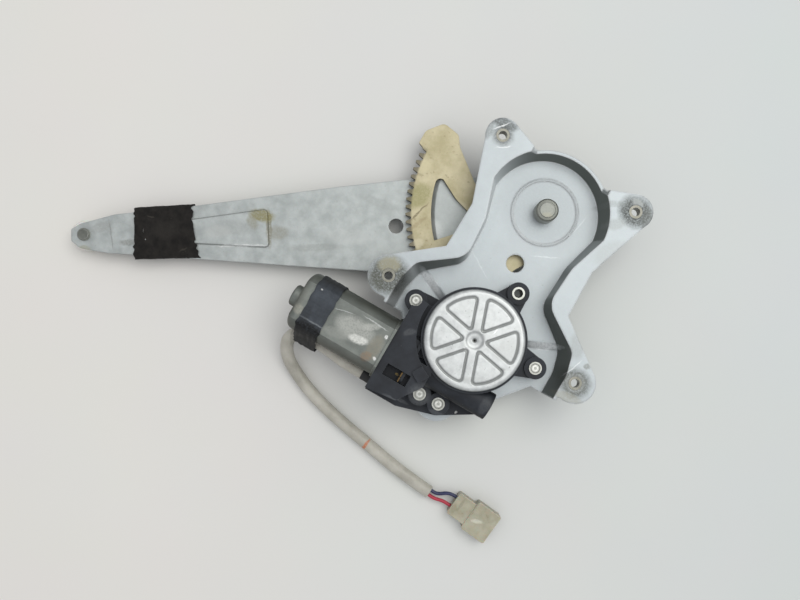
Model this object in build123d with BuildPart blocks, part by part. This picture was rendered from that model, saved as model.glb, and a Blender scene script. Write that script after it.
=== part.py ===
"""Power window regulator of a rear car door: a single lift arm on a toothed sector, driven by a worm-gear motor.

Millimetres, +Z up. The origin is midway between the two upper mounting holes, on the face of the mounting ears.
The regulator lies on its back: the pressed plate is open upwards, the sector and the arm run below it.
"""
from build123d import *
from math import acos, atan2, cos, degrees, hypot, pi, radians, sin, tan
import os

os.makedirs("parts", exist_ok=True)

# ---------------------------------------------------------------- fits
RUNNING = 0.04  # radial clearance of a turning shaft in its bush
SEATED = 0.02  # clearance of a piece that is pressed or screwed home
FREE = 0.3  # air between soft or moving neighbours

# ---------------------------------------------------------------- pressed base plate
SHEET = 1.8  # steel sheet
PAN_DEPTH = 16.5  # from the ears' face down to the pan floor
SEAT_STEP = 2.0  # the motor seat lies this much deeper than the pan floor
STEP_RUN = 5.0  # length of the slope between the two floors
STEP_APEX_Y = -108.0  # where the two slopes of the V meet
STEP_ANGLE = 24.0  # rise of each arm of the V
UPPER_SPAN = 89.0  # between the upper mounting holes
LOWER_SPAN = 125.0  # between the lower mounting holes
LOWER_SHIFT = 1.2  # the lower row sits this far towards +X
ROW_GAP = 103.7  # between the two rows of mounting holes
UPPER_EAR_R = 10.2
LOWER_EAR_R = 12.2
PIVOT_Y = -23.2  # the arm's pivot, below the upper row
BOWL_R = 33.2  # round end of the pan floor
BOWL_Y = -26.2
WALL_RUN = 3.6  # how far the drawn wall leans out over its height
RIM_HEIGHT = 11.0  # height of the round end's wall, which carries no flange
RIM_HALF = 22.0  # half width of that low rim
RIM_BLEND = 4.5  # over which the wall climbs from the low rim to the ears
WAIST = 27.4  # half width of the pan at its waist
SKIRT = 55.9  # half width of the pan at its open lower end
PAN_END_Y = -118.0  # the open lower end
TAB_Y = -153.5  # centre of the tab that carries the lower motor screw
TAB_R = 13.0
BEAD_R = 20.5  # outer radius of the round bead about the pivot
BEAD_WIDTH = 1.8
BEAD_HEIGHT = 0.6
SIGHT_HOLE_R = 5.4  # assembly hole in the pan floor
SIGHT_HOLE_Y = -58.6

# ---------------------------------------------------------------- weld nuts, M6
NUT_ACROSS = 10.0
NUT_HEIGHT = 5.0
NUT_COLLAR_R = 3.9
NUT_BORE_R = 2.5

# ---------------------------------------------------------------- sector gear and output pinion
MODULE = 1.5
SECTOR_TEETH = 111  # on the whole circle
PINION_TEETH = 7
SHIFT = 0.55  # profile shift, plus on the pinion and minus on the sector
PRESSURE_ANGLE = 20.0
TOOTH_PLAY = 0.22  # backlash at the pitch line
SECTOR_SHEET = 3.0
SECTOR_GAP = 0.7  # between the motor seat's underside and the sector
FIRST_SPACE = -2  # tooth spaces counted from the pinion against the clock
LAST_SPACE = 27
SECTOR_MIDDLE = 229.5  # angle of the sector's line of symmetry
WINDOW_R = 68.3  # outer edge of the sector's windows
SECTOR_HUB_R = 32.0

# ---------------------------------------------------------------- lift arm
ARM_ANGLE = 212.4  # from the pivot, in the drawn position
ARM_LENGTH = 282.0  # pivot to roller
ARM_SHEET = 2.2
ARM_JOGGLE = 2.0  # the arm runs this much below its hub
PLATEAU_R = 66.0  # where the hub level ends
PLATEAU_RUN = 4.0
ARM_ROOT_R = 28.0
ARM_HOLE_R = 4.5
ARM_HOLE_AT = (0.319 * ARM_LENGTH, 2.9)  # along the arm and across it
RIB_START, RIB_END = ARM_LENGTH - 114, ARM_LENGTH - 36
RIB_ROOT_HALF, RIB_TIP_HALF = 12.3, 4.8
RIB_ACROSS = 1.0  # the rib's middle line
RIB_HEIGHT = 1.2
TAPE_START, TAPE_END = ARM_LENGTH - 68.5, ARM_LENGTH - 30.5
TAPE_THICK = 1.8
ROLLER_R = 9.5
STUD_HEAD_R = 3.9
STUD_SHANK_R = 3.0

# ---------------------------------------------------------------- pivot
PIN_HEAD_R = 6.75
PIN_HEAD_HEIGHT = 11.0
PIN_BUTTON_R = 4.4  # the button on top of the head
PIN_R = 6.0
HUB_BUSH_R = 8.0
TABLE_DROP = 38.0  # from the ears' face to the surface the regulator lies on

# ---------------------------------------------------------------- motor and gearbox
WHEEL_TEETH = 58
WHEEL_MODULE = 0.8
WORM_R = 5.6  # pitch radius
MOTOR_Z = -2.0  # height of the motor shaft
WHEEL_WIDTH = 10.0
COVER_R = 29.0
COVER_TOP = 12.0
HOUSING_TOP = 8.5
CHAMBER_R = 25.5
DRUM_R = 30.4
HOUSING_FACE_X = -40.7  # where the yoke is bolted on
HOUSING_BACK_Y = -105.0
HOUSING_FRONT_Y = -168.6
BLOCK_TOP = 9.5
TUNNEL_END_X = 27.5
TUNNEL_R = 8.3
TUNNEL_BORE = 6.6
FLANGE_THICK = 5.0
BOSS_R = 15.0
SHAFT_R = 4.8
EAR_R = 6.6
EAR_HEIGHT = 9.0
SLEEVE_OUTER_R = 3.8
SLEEVE_INNER_R = 2.6
SCREW_R = 2.5
SCREW_HEAD_R = 4.2
SCREW_HEAD = 2.4
YOKE_WIDTH = 36.0
YOKE_THICK = 27.6
YOKE_WALL = 1.6
YOKE_END_X = -99.0
YOKE_EDGE_R = 4.0
LIP_R = 19.2
LIP_THICK = 30.0
LIP_DEPTH = 1.4
REAR_BOSS_R = 6.5
REAR_BOSS = 5.0
ARMATURE_R = 2.5  # shaft
CORE_R = 11.6
CORE_START, CORE_END = -90.0, -56.0
AIR_GAP = 0.7
COMMUTATOR_R = 6.4
COMMUTATOR_START, COMMUTATOR_END = -38.0, -27.5
WORM_ROOT_R = 4.5
WORM_HALF = 14.0

pivot = (0, PIVOT_Y)
CENTRES = MODULE * (SECTOR_TEETH + PINION_TEETH) / 2
GEAR_Y = PIVOT_Y - CENTRES
gear = (0, GEAR_Y)
WHEEL_R = WHEEL_MODULE * WHEEL_TEETH / 2
MOTOR_Y = GEAR_Y - WHEEL_R - WORM_R
PAN_FLOOR = -PAN_DEPTH
SEAT_FLOOR = PAN_FLOOR - SEAT_STEP
PLATE_UNDER = SEAT_FLOOR - SHEET
SECTOR_TOP = PLATE_UNDER - SECTOR_GAP
SECTOR_UNDER = SECTOR_TOP - SECTOR_SHEET
HUB_UNDER = SECTOR_UNDER - ARM_SHEET
ARM_TOP = SECTOR_UNDER - ARM_JOGGLE
ARM_UNDER = ARM_TOP - ARM_SHEET
TABLE = -TABLE_DROP


def around(radius, angle, centre=pivot):
    """The point at a radius and an angle in degrees about a centre."""
    return (centre[0] + radius * cos(radians(angle)), centre[1] + radius * sin(radians(angle)))


# ================================================================ base plate
def pan_outline(bowl_r, waist_top, waist_low, knee, skirt, end_y):
    """Outline of the drawn pan at one level: a round end, a waist and an open skirt."""
    shoulder = around(bowl_r, 4, (0, BOWL_Y))
    with BuildLine() as line:
        for side in (1, -1):
            upper = [(side * x, y) for x, y in (shoulder, waist_top, waist_low)]
            lower = [(LOWER_SHIFT + side * x, y) for x, y in (knee, (skirt, knee[1] - 13), (skirt, end_y))]
            FilletPolyline(*upper, *lower, radius=(20, 12, 9, 20))
        ThreePointArc(shoulder, (0, BOWL_Y + bowl_r), (-shoulder[0], shoulder[1]))
        Line((LOWER_SHIFT + skirt, end_y), (LOWER_SHIFT - skirt, end_y))
    return line


def pan_levels(grow, end_y):
    """The pan's outline at the ears' face and at its floor, grown outwards by a sheet or not at all."""
    top = pan_outline(
        BOWL_R + WALL_RUN + grow, (WAIST + 1.6 + grow, -47), (WAIST + grow, -71.6 - grow / 2),
        (52.5 + grow, -89 + grow / 2), SKIRT + grow, end_y,
    )
    floor = pan_outline(
        BOWL_R + grow, (WAIST + grow, -46), (WAIST - 1 + grow, -73.6 - grow / 2),
        (48 + grow, -91.5 + grow / 2), SKIRT - 4.4 + grow, end_y,
    )
    return top, floor


def v_region(drop, reach):
    """The motor seat below the V-shaped step, its edge moved down the pan by drop."""
    apex = STEP_APEX_Y - drop
    rise = reach * tan(radians(STEP_ANGLE))
    return [(-reach, apex + rise), (0, apex), (reach, apex + rise), (reach, -200), (-reach, -200)]


outer_top, outer_floor = pan_levels(SHEET, PAN_END_Y)
inner_top, inner_floor = pan_levels(0, PAN_END_Y - 20)
REACH = 100.0  # beyond every edge of the pan

with BuildPart() as upper_floor:  # the pan floor above the motor seat, sloped down along the V
    with BuildSketch(Plane.XY.offset(PLATE_UNDER)):
        make_face(pan_levels(SHEET / 2, PAN_END_Y)[1].edges())
    extrude(amount=SEAT_STEP + SHEET)
    with BuildSketch(Plane.XY.offset(SEAT_FLOOR)):
        Polygon(*v_region(STEP_RUN, REACH), align=None)
    with BuildSketch(Plane.XY.offset(PAN_FLOOR)):
        Polygon(*v_region(0, REACH), align=None)
    loft(ruled=True, mode=Mode.SUBTRACT)

with BuildPart() as under_floor:  # the air under that floor
    with BuildSketch(Plane.XY.offset(PLATE_UNDER)):
        Rectangle(2 * REACH, 4 * REACH)
    extrude(amount=SEAT_STEP)
    with BuildSketch(Plane.XY.offset(PLATE_UNDER)):
        Polygon(*v_region(STEP_RUN, 2 * REACH), align=None)
    with BuildSketch(Plane.XY.offset(PLATE_UNDER + SEAT_STEP)):
        Polygon(*v_region(0, 2 * REACH), align=None)
    loft(ruled=True, mode=Mode.SUBTRACT)

motor_ears = {"rear": (-40.5, -108.0), "upper": (9.8, -74.3), "far": (40.4, -107.5), "tab": (1.4, TAB_Y - 0.8)}
screwed_ears = [motor_ears[name] for name in ("rear", "far", "tab")]
upper_holes = [(side * UPPER_SPAN / 2, 0) for side in (-1, 1)]
lower_holes = [(LOWER_SHIFT + side * LOWER_SPAN / 2, -ROW_GAP) for side in (-1, 1)]
mount_holes = upper_holes + lower_holes

with BuildPart() as base_plate:
    # the drawn pan, wall and floor, and the flange with its four ears
    with BuildSketch():
        make_face(outer_top.edges())
    with BuildSketch(Plane.XY.offset(PLATE_UNDER)):
        make_face(outer_floor.edges())
    loft(ruled=True)
    with BuildSketch(Plane.XY.offset(-SHEET)):
        for side, (upper_x, upper_y), (lower_x, lower_y) in zip((-1, 1), upper_holes, lower_holes):
            Polygon(
                (side * 21, upper_y + 2), (upper_x - side * 3.5, upper_y + 9.6), (upper_x + side * 9.1, upper_y - 4),
                (side * 40.2, -43), (side * 40.9, -72), (lower_x + side * 7.0, lower_y + 9.9),
                (lower_x + side * 4.0, lower_y - 11.5), (lower_x - side * 5, PAN_END_Y + 2),
                (side * 30, PAN_END_Y + 2), (side * 20, -10), align=None,
            )
        with Locations(*upper_holes):
            Circle(UPPER_EAR_R)
        with Locations(*lower_holes):
            Circle(LOWER_EAR_R)
    extrude(amount=SHEET)
    # the tab under the motor
    with BuildSketch(Plane.XY.offset(PLATE_UNDER)):
        with Locations((0, TAB_Y)):
            Circle(TAB_R)
        Polygon((-46, PAN_END_Y + 1), (46, PAN_END_Y + 1), (TAB_R - 1, TAB_Y - 5), (1 - TAB_R, TAB_Y - 5), align=None)
    extrude(amount=SHEET)
    # hollowed, then its upper floor put in and cleared below
    with BuildSketch():
        make_face(inner_top.edges())
    with BuildSketch(Plane.XY.offset(SEAT_FLOOR)):
        make_face(inner_floor.edges())
    loft(ruled=True, mode=Mode.SUBTRACT)
    add(upper_floor.part)
    add(under_floor.part, mode=Mode.SUBTRACT)
    # the low rim of the round end
    with BuildSketch(Plane.XZ.offset(-30)):
        Polygon(
            (-RIM_HALF, PAN_FLOOR + RIM_HEIGHT), (RIM_HALF, PAN_FLOOR + RIM_HEIGHT),
            (RIM_HALF + RIM_BLEND, 1), (-RIM_HALF - RIM_BLEND, 1), align=None,
        )
    extrude(amount=38, mode=Mode.SUBTRACT)
    # the bead about the pivot
    with BuildSketch(Plane.XY.offset(PAN_FLOOR)):
        with Locations(pivot):
            Circle(BEAD_R)
            Circle(BEAD_R - BEAD_WIDTH, mode=Mode.SUBTRACT)
    extrude(amount=BEAD_HEIGHT, taper=35)
    # holes
    with Locations(*[(x, y, 0) for x, y in mount_holes]):
        Hole(NUT_COLLAR_R + SEATED)
    with Locations((0, PIVOT_Y, PAN_FLOOR)):
        Hole(PIN_R - 1 + SEATED)
    with Locations((0, SIGHT_HOLE_Y, PAN_FLOOR)):
        Hole(SIGHT_HOLE_R)
    with Locations((0, GEAR_Y, PAN_FLOOR)):
        Hole(BOSS_R + 0.2)
    with Locations(*[(x, y, PAN_FLOOR) for x, y in motor_ears.values()]):
        Hole(SCREW_R + 0.05)
base_plate.part.label = "base_plate"
export_step(base_plate.part, "parts/base_plate.step")

with BuildPart() as weld_nuts:  # hexagon weld nuts under the ears, their pilot collars flush with the face
    with BuildSketch(Plane.XY.offset(-SHEET)):
        with Locations(*mount_holes):
            RegularPolygon(NUT_ACROSS / 2, 6, major_radius=False, rotation=30)
    extrude(amount=-NUT_HEIGHT)
    with BuildSketch(Plane.XY.offset(-SHEET)):
        with Locations(*mount_holes):
            Circle(NUT_COLLAR_R)
    extrude(amount=SHEET)
    with Locations(*mount_holes):
        Hole(NUT_BORE_R)
weld_nuts.part.label = "weld_nuts"
export_step(weld_nuts.part, "parts/weld_nuts.step")

# ================================================================ pivot
PIN_SHOULDER_UNDER = SECTOR_TOP + 0.2
FLANGE_UNDER = HUB_UNDER - 0.8
WASHER_TOP = FLANGE_UNDER - 0.05
WASHER_UNDER = WASHER_TOP - 0.9
RIVET_TOP = WASHER_UNDER - 0.1


def turned(profile, centre):
    """A solid of revolution about a vertical axis, from radius and height pairs."""
    with BuildPart() as solid:
        with BuildSketch(Plane(origin=(centre[0], centre[1], 0), x_dir=(1, 0, 0), z_dir=(0, -1, 0))):
            Polygon(*profile, align=None)
        revolve(axis=Axis((centre[0], centre[1], 0), (0, 0, 1)))
    return solid


PLATE_BACK = PAN_FLOOR - SHEET
PIN_TOP = PAN_FLOOR + PIN_HEAD_HEIGHT
pivot_pin = turned(
    [(0, PIN_TOP), (PIN_BUTTON_R, PIN_TOP), (PIN_BUTTON_R + 0.4, PIN_TOP - 0.5), (PIN_HEAD_R - 0.9, PIN_TOP - 0.6),
     (PIN_HEAD_R, PIN_TOP - 1.5), (PIN_HEAD_R, PAN_FLOOR), (PIN_R - 1, PAN_FLOOR),
     (PIN_R - 1, PLATE_BACK), (HUB_BUSH_R + 1.5, PLATE_BACK), (HUB_BUSH_R + 1.5, PIN_SHOULDER_UNDER),
     (PIN_R, PIN_SHOULDER_UNDER), (PIN_R, RIVET_TOP), (PIN_R + 3.5, RIVET_TOP), (PIN_R + 3.5, RIVET_TOP - 2.5),
     (PIN_R + 1, RIVET_TOP - 3.5), (PIN_R + 1, TABLE + 0.5), (PIN_R + 0.5, TABLE), (0, TABLE)], pivot)
pivot_pin.part.label = "pivot_pin"
export_step(pivot_pin.part, "parts/pivot_pin.step")

hub_bush = turned(
    [(PIN_R + RUNNING, SECTOR_TOP), (HUB_BUSH_R, SECTOR_TOP), (HUB_BUSH_R, HUB_UNDER),
     (HUB_BUSH_R + 2.5, HUB_UNDER), (HUB_BUSH_R + 2.5, FLANGE_UNDER), (PIN_R + RUNNING, FLANGE_UNDER)], pivot)
hub_bush.part.label = "hub_bush"
export_step(hub_bush.part, "parts/hub_bush.step")

pivot_washer = turned(
    [(PIN_R + 0.1, WASHER_TOP), (PIN_R + 4, WASHER_TOP), (PIN_R + 4, WASHER_UNDER), (PIN_R + 0.1, WASHER_UNDER)],
    pivot)
pivot_washer.part.label = "pivot_washer"
export_step(pivot_washer.part, "parts/pivot_washer.step")


# ================================================================ gearing
def involute(angle):
    """The involute function of an angle in radians."""
    return tan(angle) - angle


def tooth_half_angle(teeth, shift, radius):
    """Half the angle of an involute tooth at a radius, in degrees, half of the play taken off."""
    pitch_r = MODULE * teeth / 2
    base_r = pitch_r * cos(radians(PRESSURE_ANGLE))
    here = acos(base_r / max(radius, base_r))
    half = (pi / 2 + 2 * shift * tan(radians(PRESSURE_ANGLE))) / teeth
    half += involute(radians(PRESSURE_ANGLE)) - involute(here) - TOOTH_PLAY / 4 / pitch_r
    return degrees(half)


def tooth_space(teeth, shift, root_r, tip_r):
    """The gap between two teeth of a large wheel, its middle on the X axis: two involute flanks on a flat root."""
    radii = (root_r, (root_r + tip_r) / 2, tip_r)
    upper = [around(r, 180 / teeth - tooth_half_angle(teeth, shift, r), (0, 0)) for r in radii]
    lower = [(x, -y) for x, y in upper]
    with BuildSketch() as space:
        with BuildLine():
            ThreePointArc(*upper)
            Line(upper[2], lower[2])
            ThreePointArc(*lower)
            Line(lower[0], upper[0])
        make_face()
    return space


def pinion_tooth(teeth, shift, root_r, tip_r):
    """One tooth of a small wheel along the X axis: radial below the base circle, involute above it."""
    base_r = MODULE * teeth / 2 * cos(radians(PRESSURE_ANGLE))
    half = tooth_half_angle(teeth, shift, base_r)
    upper = [around(r, tooth_half_angle(teeth, shift, r), (0, 0)) for r in (base_r, (base_r + tip_r) / 2, tip_r)]
    foot = around(root_r - 1, half, (0, 0))
    with BuildSketch() as tooth:
        with BuildLine() as flank:
            Line(foot, upper[0])
            ThreePointArc(*upper)
            mirror(about=Plane.XZ)
            ThreePointArc(upper[2], (tip_r, 0), (upper[2][0], -upper[2][1]))
            Line((foot[0], -foot[1]), foot)
        make_face()
    return tooth


TIP_TRIM = 0.25  # taken off the pinion's pointed tips
SECTOR_TIP_R = MODULE * SECTOR_TEETH / 2 + MODULE * (1 - SHIFT) - 0.06
SECTOR_ROOT_R = MODULE * SECTOR_TEETH / 2 - MODULE * (1.25 + SHIFT)
PINION_TIP_R = MODULE * PINION_TEETH / 2 + MODULE * (1 + SHIFT) - TIP_TRIM
PINION_ROOT_R = MODULE * PINION_TEETH / 2 - MODULE * (1.25 - SHIFT)
SECTOR_PITCH = 360 / SECTOR_TEETH

HEAD_FIRST = 181.0  # where the tooth arc ends at the upper head
HEAD = [(87.2, 180.1), (87.6, 174.6), (81.5, 167.4), (70.3, 166.9), (65.0, 171.2), (42.4, 190.0), (31.0, 176.0)]
HEAD_RADII = (1.0, 5.0, 4.0, 4.0, 4.0, 7.0)
WINDOW = [(64.3, 190.9), (54.0, 200.2), (43.3, 211.5), (42.0, 221.0), (75.0, 224.0), (75.0, 190.7)]
WINDOW_RADII = (0, 12.0, 4.0, 4.0, 0, 0)

sector_plane = Plane(origin=(0, PIVOT_Y, SECTOR_UNDER))
flipped = 2 * SECTOR_MIDDLE

# the arm and the sector turn together, riveted at three places about the hub
RIVET_R = 3.0
RIVET_HEAD_R = 4.6
RIVET_HEAD = 0.5
RIVET_TAIL = 1.0
arm_plane = Plane(origin=(0, PIVOT_Y, 0), x_dir=(cos(radians(ARM_ANGLE)), sin(radians(ARM_ANGLE)), 0))


def arm_point(along, across):
    """A place on the arm, in the plane of the whole regulator."""
    point = arm_plane.from_local_coords((along, across, 0))
    return (point.X, point.Y)


rivet_places = [arm_point(20, 12), arm_point(20, -12), arm_point(30, 0)]

with BuildSketch() as window:
    with BuildLine():
        FilletPolyline(*[around(r, a, (0, 0)) for r, a in WINDOW], radius=WINDOW_RADII, close=True)
    make_face()
    Circle(WINDOW_R, mode=Mode.INTERSECT)
    fillet(window.vertices().sort_by(Axis.X)[:1], radius=3)

sector_space = tooth_space(SECTOR_TEETH, -SHIFT, SECTOR_ROOT_R, SECTOR_TIP_R + 0.6)

with BuildPart() as sector_gear:
    with BuildSketch(sector_plane):
        with BuildLine():
            start = around(SECTOR_TIP_R, HEAD_FIRST, (0, 0))
            end = around(SECTOR_TIP_R, flipped - HEAD_FIRST, (0, 0))
            ThreePointArc(start, around(SECTOR_TIP_R, SECTOR_MIDDLE, (0, 0)), end)
            upper_head = [around(r, a, (0, 0)) for r, a in HEAD]
            lower_head = [around(r, flipped - a, (0, 0)) for r, a in HEAD]
            FilletPolyline(start, *upper_head, radius=HEAD_RADII)
            FilletPolyline(end, *lower_head, radius=HEAD_RADII)
            Line(upper_head[-1], lower_head[-1])
        make_face()
        Circle(SECTOR_HUB_R)
        add(window.sketch, mode=Mode.SUBTRACT)
        add(mirror(window.sketch, about=Plane.XZ, mode=Mode.PRIVATE), rotation=flipped, mode=Mode.SUBTRACT)
        for space in range(FIRST_SPACE, LAST_SPACE + 1):
            add(sector_space.sketch, rotation=270 - space * SECTOR_PITCH, mode=Mode.SUBTRACT)
        Circle(HUB_BUSH_R, mode=Mode.SUBTRACT)
    extrude(amount=SECTOR_SHEET)
    with Locations(*[(x, y, SECTOR_TOP) for x, y in rivet_places]):
        Hole(RIVET_R)
sector_gear.part.label = "sector_gear"
export_step(sector_gear.part, "parts/sector_gear.step")

# ================================================================ lift arm
ARM_EDGE = [(0.15, -24.4), (0.30, -25.4), (0.44, -22.8), (0.77, -14.4), (0.93, -11.6)]  # share of the length, across
ARM_FAR_EDGE = [(0.95, 12.0), (0.75, 18.1), (0.50, 26.2), (0.38, 30.0), (0.21, 31.5)]
ARM_NOSE = [(1.8, -6.8), (7.8, -3.6), (8.0, 3.7), (2.6, 8.4)]  # beyond the roller, across
ARM_OUTLINE = [
    (0, -ARM_ROOT_R), *[(share * ARM_LENGTH, y) for share, y in ARM_EDGE],
    *[(ARM_LENGTH + x, y) for x, y in ARM_NOSE], *[(share * ARM_LENGTH, y) for share, y in ARM_FAR_EDGE],
    (0, ARM_ROOT_R),
]
ARM_CORNERS = [0, 40, 60, 60, 90, 20, 5, 1.5, 1.5, 5, 20, 90, 60, 18, 40, 0]


def arm_shape():
    """The arm's outline in its own plane, along X from the pivot."""
    with BuildSketch() as shape:
        with BuildLine():
            FilletPolyline(*ARM_OUTLINE, radius=ARM_CORNERS, close=True)
        make_face()
        Circle(ARM_ROOT_R)
    return shape


arm_face = arm_shape()


def rib_shape(grow):
    """The stiffening rib's outline, tapered towards the tip with round ends."""
    with BuildSketch() as shape:
        with BuildLine():
            FilletPolyline(
                (RIB_START - grow, RIB_ACROSS - RIB_ROOT_HALF - grow),
                (RIB_END + grow, RIB_ACROSS - RIB_TIP_HALF - grow),
                (RIB_END + grow, RIB_ACROSS + RIB_TIP_HALF + grow),
                (RIB_START - grow, RIB_ACROSS + RIB_ROOT_HALF + grow), radius=3 + grow, close=True,
            )
        make_face()
    return shape


def level(height):
    """The arm's plane at a height."""
    return Plane(origin=(0, PIVOT_Y, height), x_dir=arm_plane.x_dir)


with BuildPart() as lift_arm:
    with BuildSketch(level(ARM_UNDER)):
        add(arm_face.sketch)
    extrude(amount=ARM_SHEET)
    # the hub level, pressed up against the sector
    with BuildSketch(level(ARM_TOP)):
        add(arm_face.sketch)
        Circle(PLATEAU_R + PLATEAU_RUN, mode=Mode.INTERSECT)
    with BuildSketch(level(SECTOR_UNDER)):
        add(arm_face.sketch)
        Circle(PLATEAU_R, mode=Mode.INTERSECT)
    loft(ruled=True)
    with BuildSketch(level(ARM_UNDER)):
        Circle(PLATEAU_R + PLATEAU_RUN)
    with BuildSketch(level(HUB_UNDER)):
        Circle(PLATEAU_R)
    loft(ruled=True, mode=Mode.SUBTRACT)
    # the rib
    with BuildSketch(level(ARM_TOP)):
        add(rib_shape(0).sketch)
    extrude(amount=RIB_HEIGHT, taper=35)
    with BuildSketch(level(ARM_UNDER)):
        add(rib_shape(-1).sketch)
    extrude(amount=RIB_HEIGHT, taper=35, mode=Mode.SUBTRACT)
    # holes: pivot bush, lightening hole, roller stud
    with BuildSketch(level(ARM_UNDER - 1)):
        Circle(HUB_BUSH_R)
        with Locations(ARM_HOLE_AT):
            Circle(ARM_HOLE_R)
        with Locations((ARM_LENGTH, 0)):
            Circle(STUD_SHANK_R)
    extrude(amount=10, mode=Mode.SUBTRACT)
    with Locations(*[(x, y, SECTOR_UNDER) for x, y in rivet_places]):
        Hole(RIVET_R)
lift_arm.part.label = "lift_arm"
export_step(lift_arm.part, "parts/lift_arm.step")

rivet = [(0, SECTOR_TOP + RIVET_HEAD), (RIVET_HEAD_R, SECTOR_TOP + RIVET_HEAD), (RIVET_HEAD_R, SECTOR_TOP),
         (RIVET_R, SECTOR_TOP), (RIVET_R, HUB_UNDER), (RIVET_HEAD_R, HUB_UNDER),
         (RIVET_HEAD_R, HUB_UNDER - RIVET_TAIL), (0, HUB_UNDER - RIVET_TAIL)]
rivets = [turned(rivet, place).part for place in rivet_places]
with BuildPart() as arm_rivets:
    add(rivets)
arm_rivets.part.label = "arm_rivets"
export_step(arm_rivets.part, "parts/arm_rivets.step")

# anti-rattle felt wrapped round the arm
with BuildPart() as arm_felt:
    with BuildSketch(level(ARM_UNDER - TAPE_THICK)):
        add(arm_face.sketch)
        offset(amount=TAPE_THICK)
        with Locations(((TAPE_START + TAPE_END) / 2, 0)):
            Rectangle(TAPE_END - TAPE_START, 80, mode=Mode.INTERSECT)
    extrude(amount=ARM_SHEET + RIB_HEIGHT + 2 * TAPE_THICK)
    with BuildSketch(level(ARM_UNDER - SEATED)):
        add(arm_face.sketch)
        offset(amount=SEATED)
    extrude(amount=ARM_SHEET + RIB_HEIGHT + 2 * SEATED, mode=Mode.SUBTRACT)
arm_felt.part.label = "arm_felt"
export_step(arm_felt.part, "parts/arm_felt.step")

# glass roller on its stud
tip = arm_point(ARM_LENGTH, 0)
ROLLER_TOP = ARM_UNDER - 0.5
STUD_FOOT_TOP = TABLE + 2.4
roller_stud = turned(
    [(0, ARM_TOP + 1.8), (STUD_HEAD_R - 0.8, ARM_TOP + 1.8), (STUD_HEAD_R, ARM_TOP + 1.0), (STUD_HEAD_R, ARM_TOP),
     (STUD_SHANK_R, ARM_TOP), (STUD_SHANK_R, STUD_FOOT_TOP), (STUD_SHANK_R + 1.6, STUD_FOOT_TOP),
     (STUD_SHANK_R + 1.6, TABLE + 0.8), (0, TABLE + 0.8)], tip)
roller_stud.part.label = "roller_stud"
export_step(roller_stud.part, "parts/roller_stud.step")
glass_roller = turned(
    [(STUD_SHANK_R + RUNNING, ROLLER_TOP), (ROLLER_R - 1.2, ROLLER_TOP), (ROLLER_R, ROLLER_TOP - 1.2),
     (ROLLER_R, TABLE + 1.2), (ROLLER_R - 1.2, TABLE), (STUD_SHANK_R + 2.2, TABLE),
     (STUD_SHANK_R + 2.2, STUD_FOOT_TOP + 0.1), (STUD_SHANK_R + RUNNING, STUD_FOOT_TOP + 0.1)], tip)
glass_roller.part.label = "glass_roller"
export_step(glass_roller.part, "parts/glass_roller.step")

# ================================================================ gear housing
FOOT = SEAT_FLOOR  # the housing stands on the motor seat
DRUM_UNDER = PAN_FLOOR + FREE
EAR_TOP = FOOT + EAR_HEIGHT + 3
STUD_AT = (-11.1, -154.7)
STUD_BOSS_R = 6.8
STUD_BORE_R = 2.5
SLOT_AT = (-28.5, -150.8)
SLOT_SIZE = (15.0, 7.0)
SLOT_DEPTH = 7.0
LUG_AT = (-16.4, -143.0)
LUG_SIZE = (7.0, 9.0)
BRUSH_ROOM_X = -24.0
BRUSH_ROOM = (30.0, 19.0)
BUSH_R = 6.6
GROOVE_GAP = 2.6  # between the round chamber and the brush block

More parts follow.
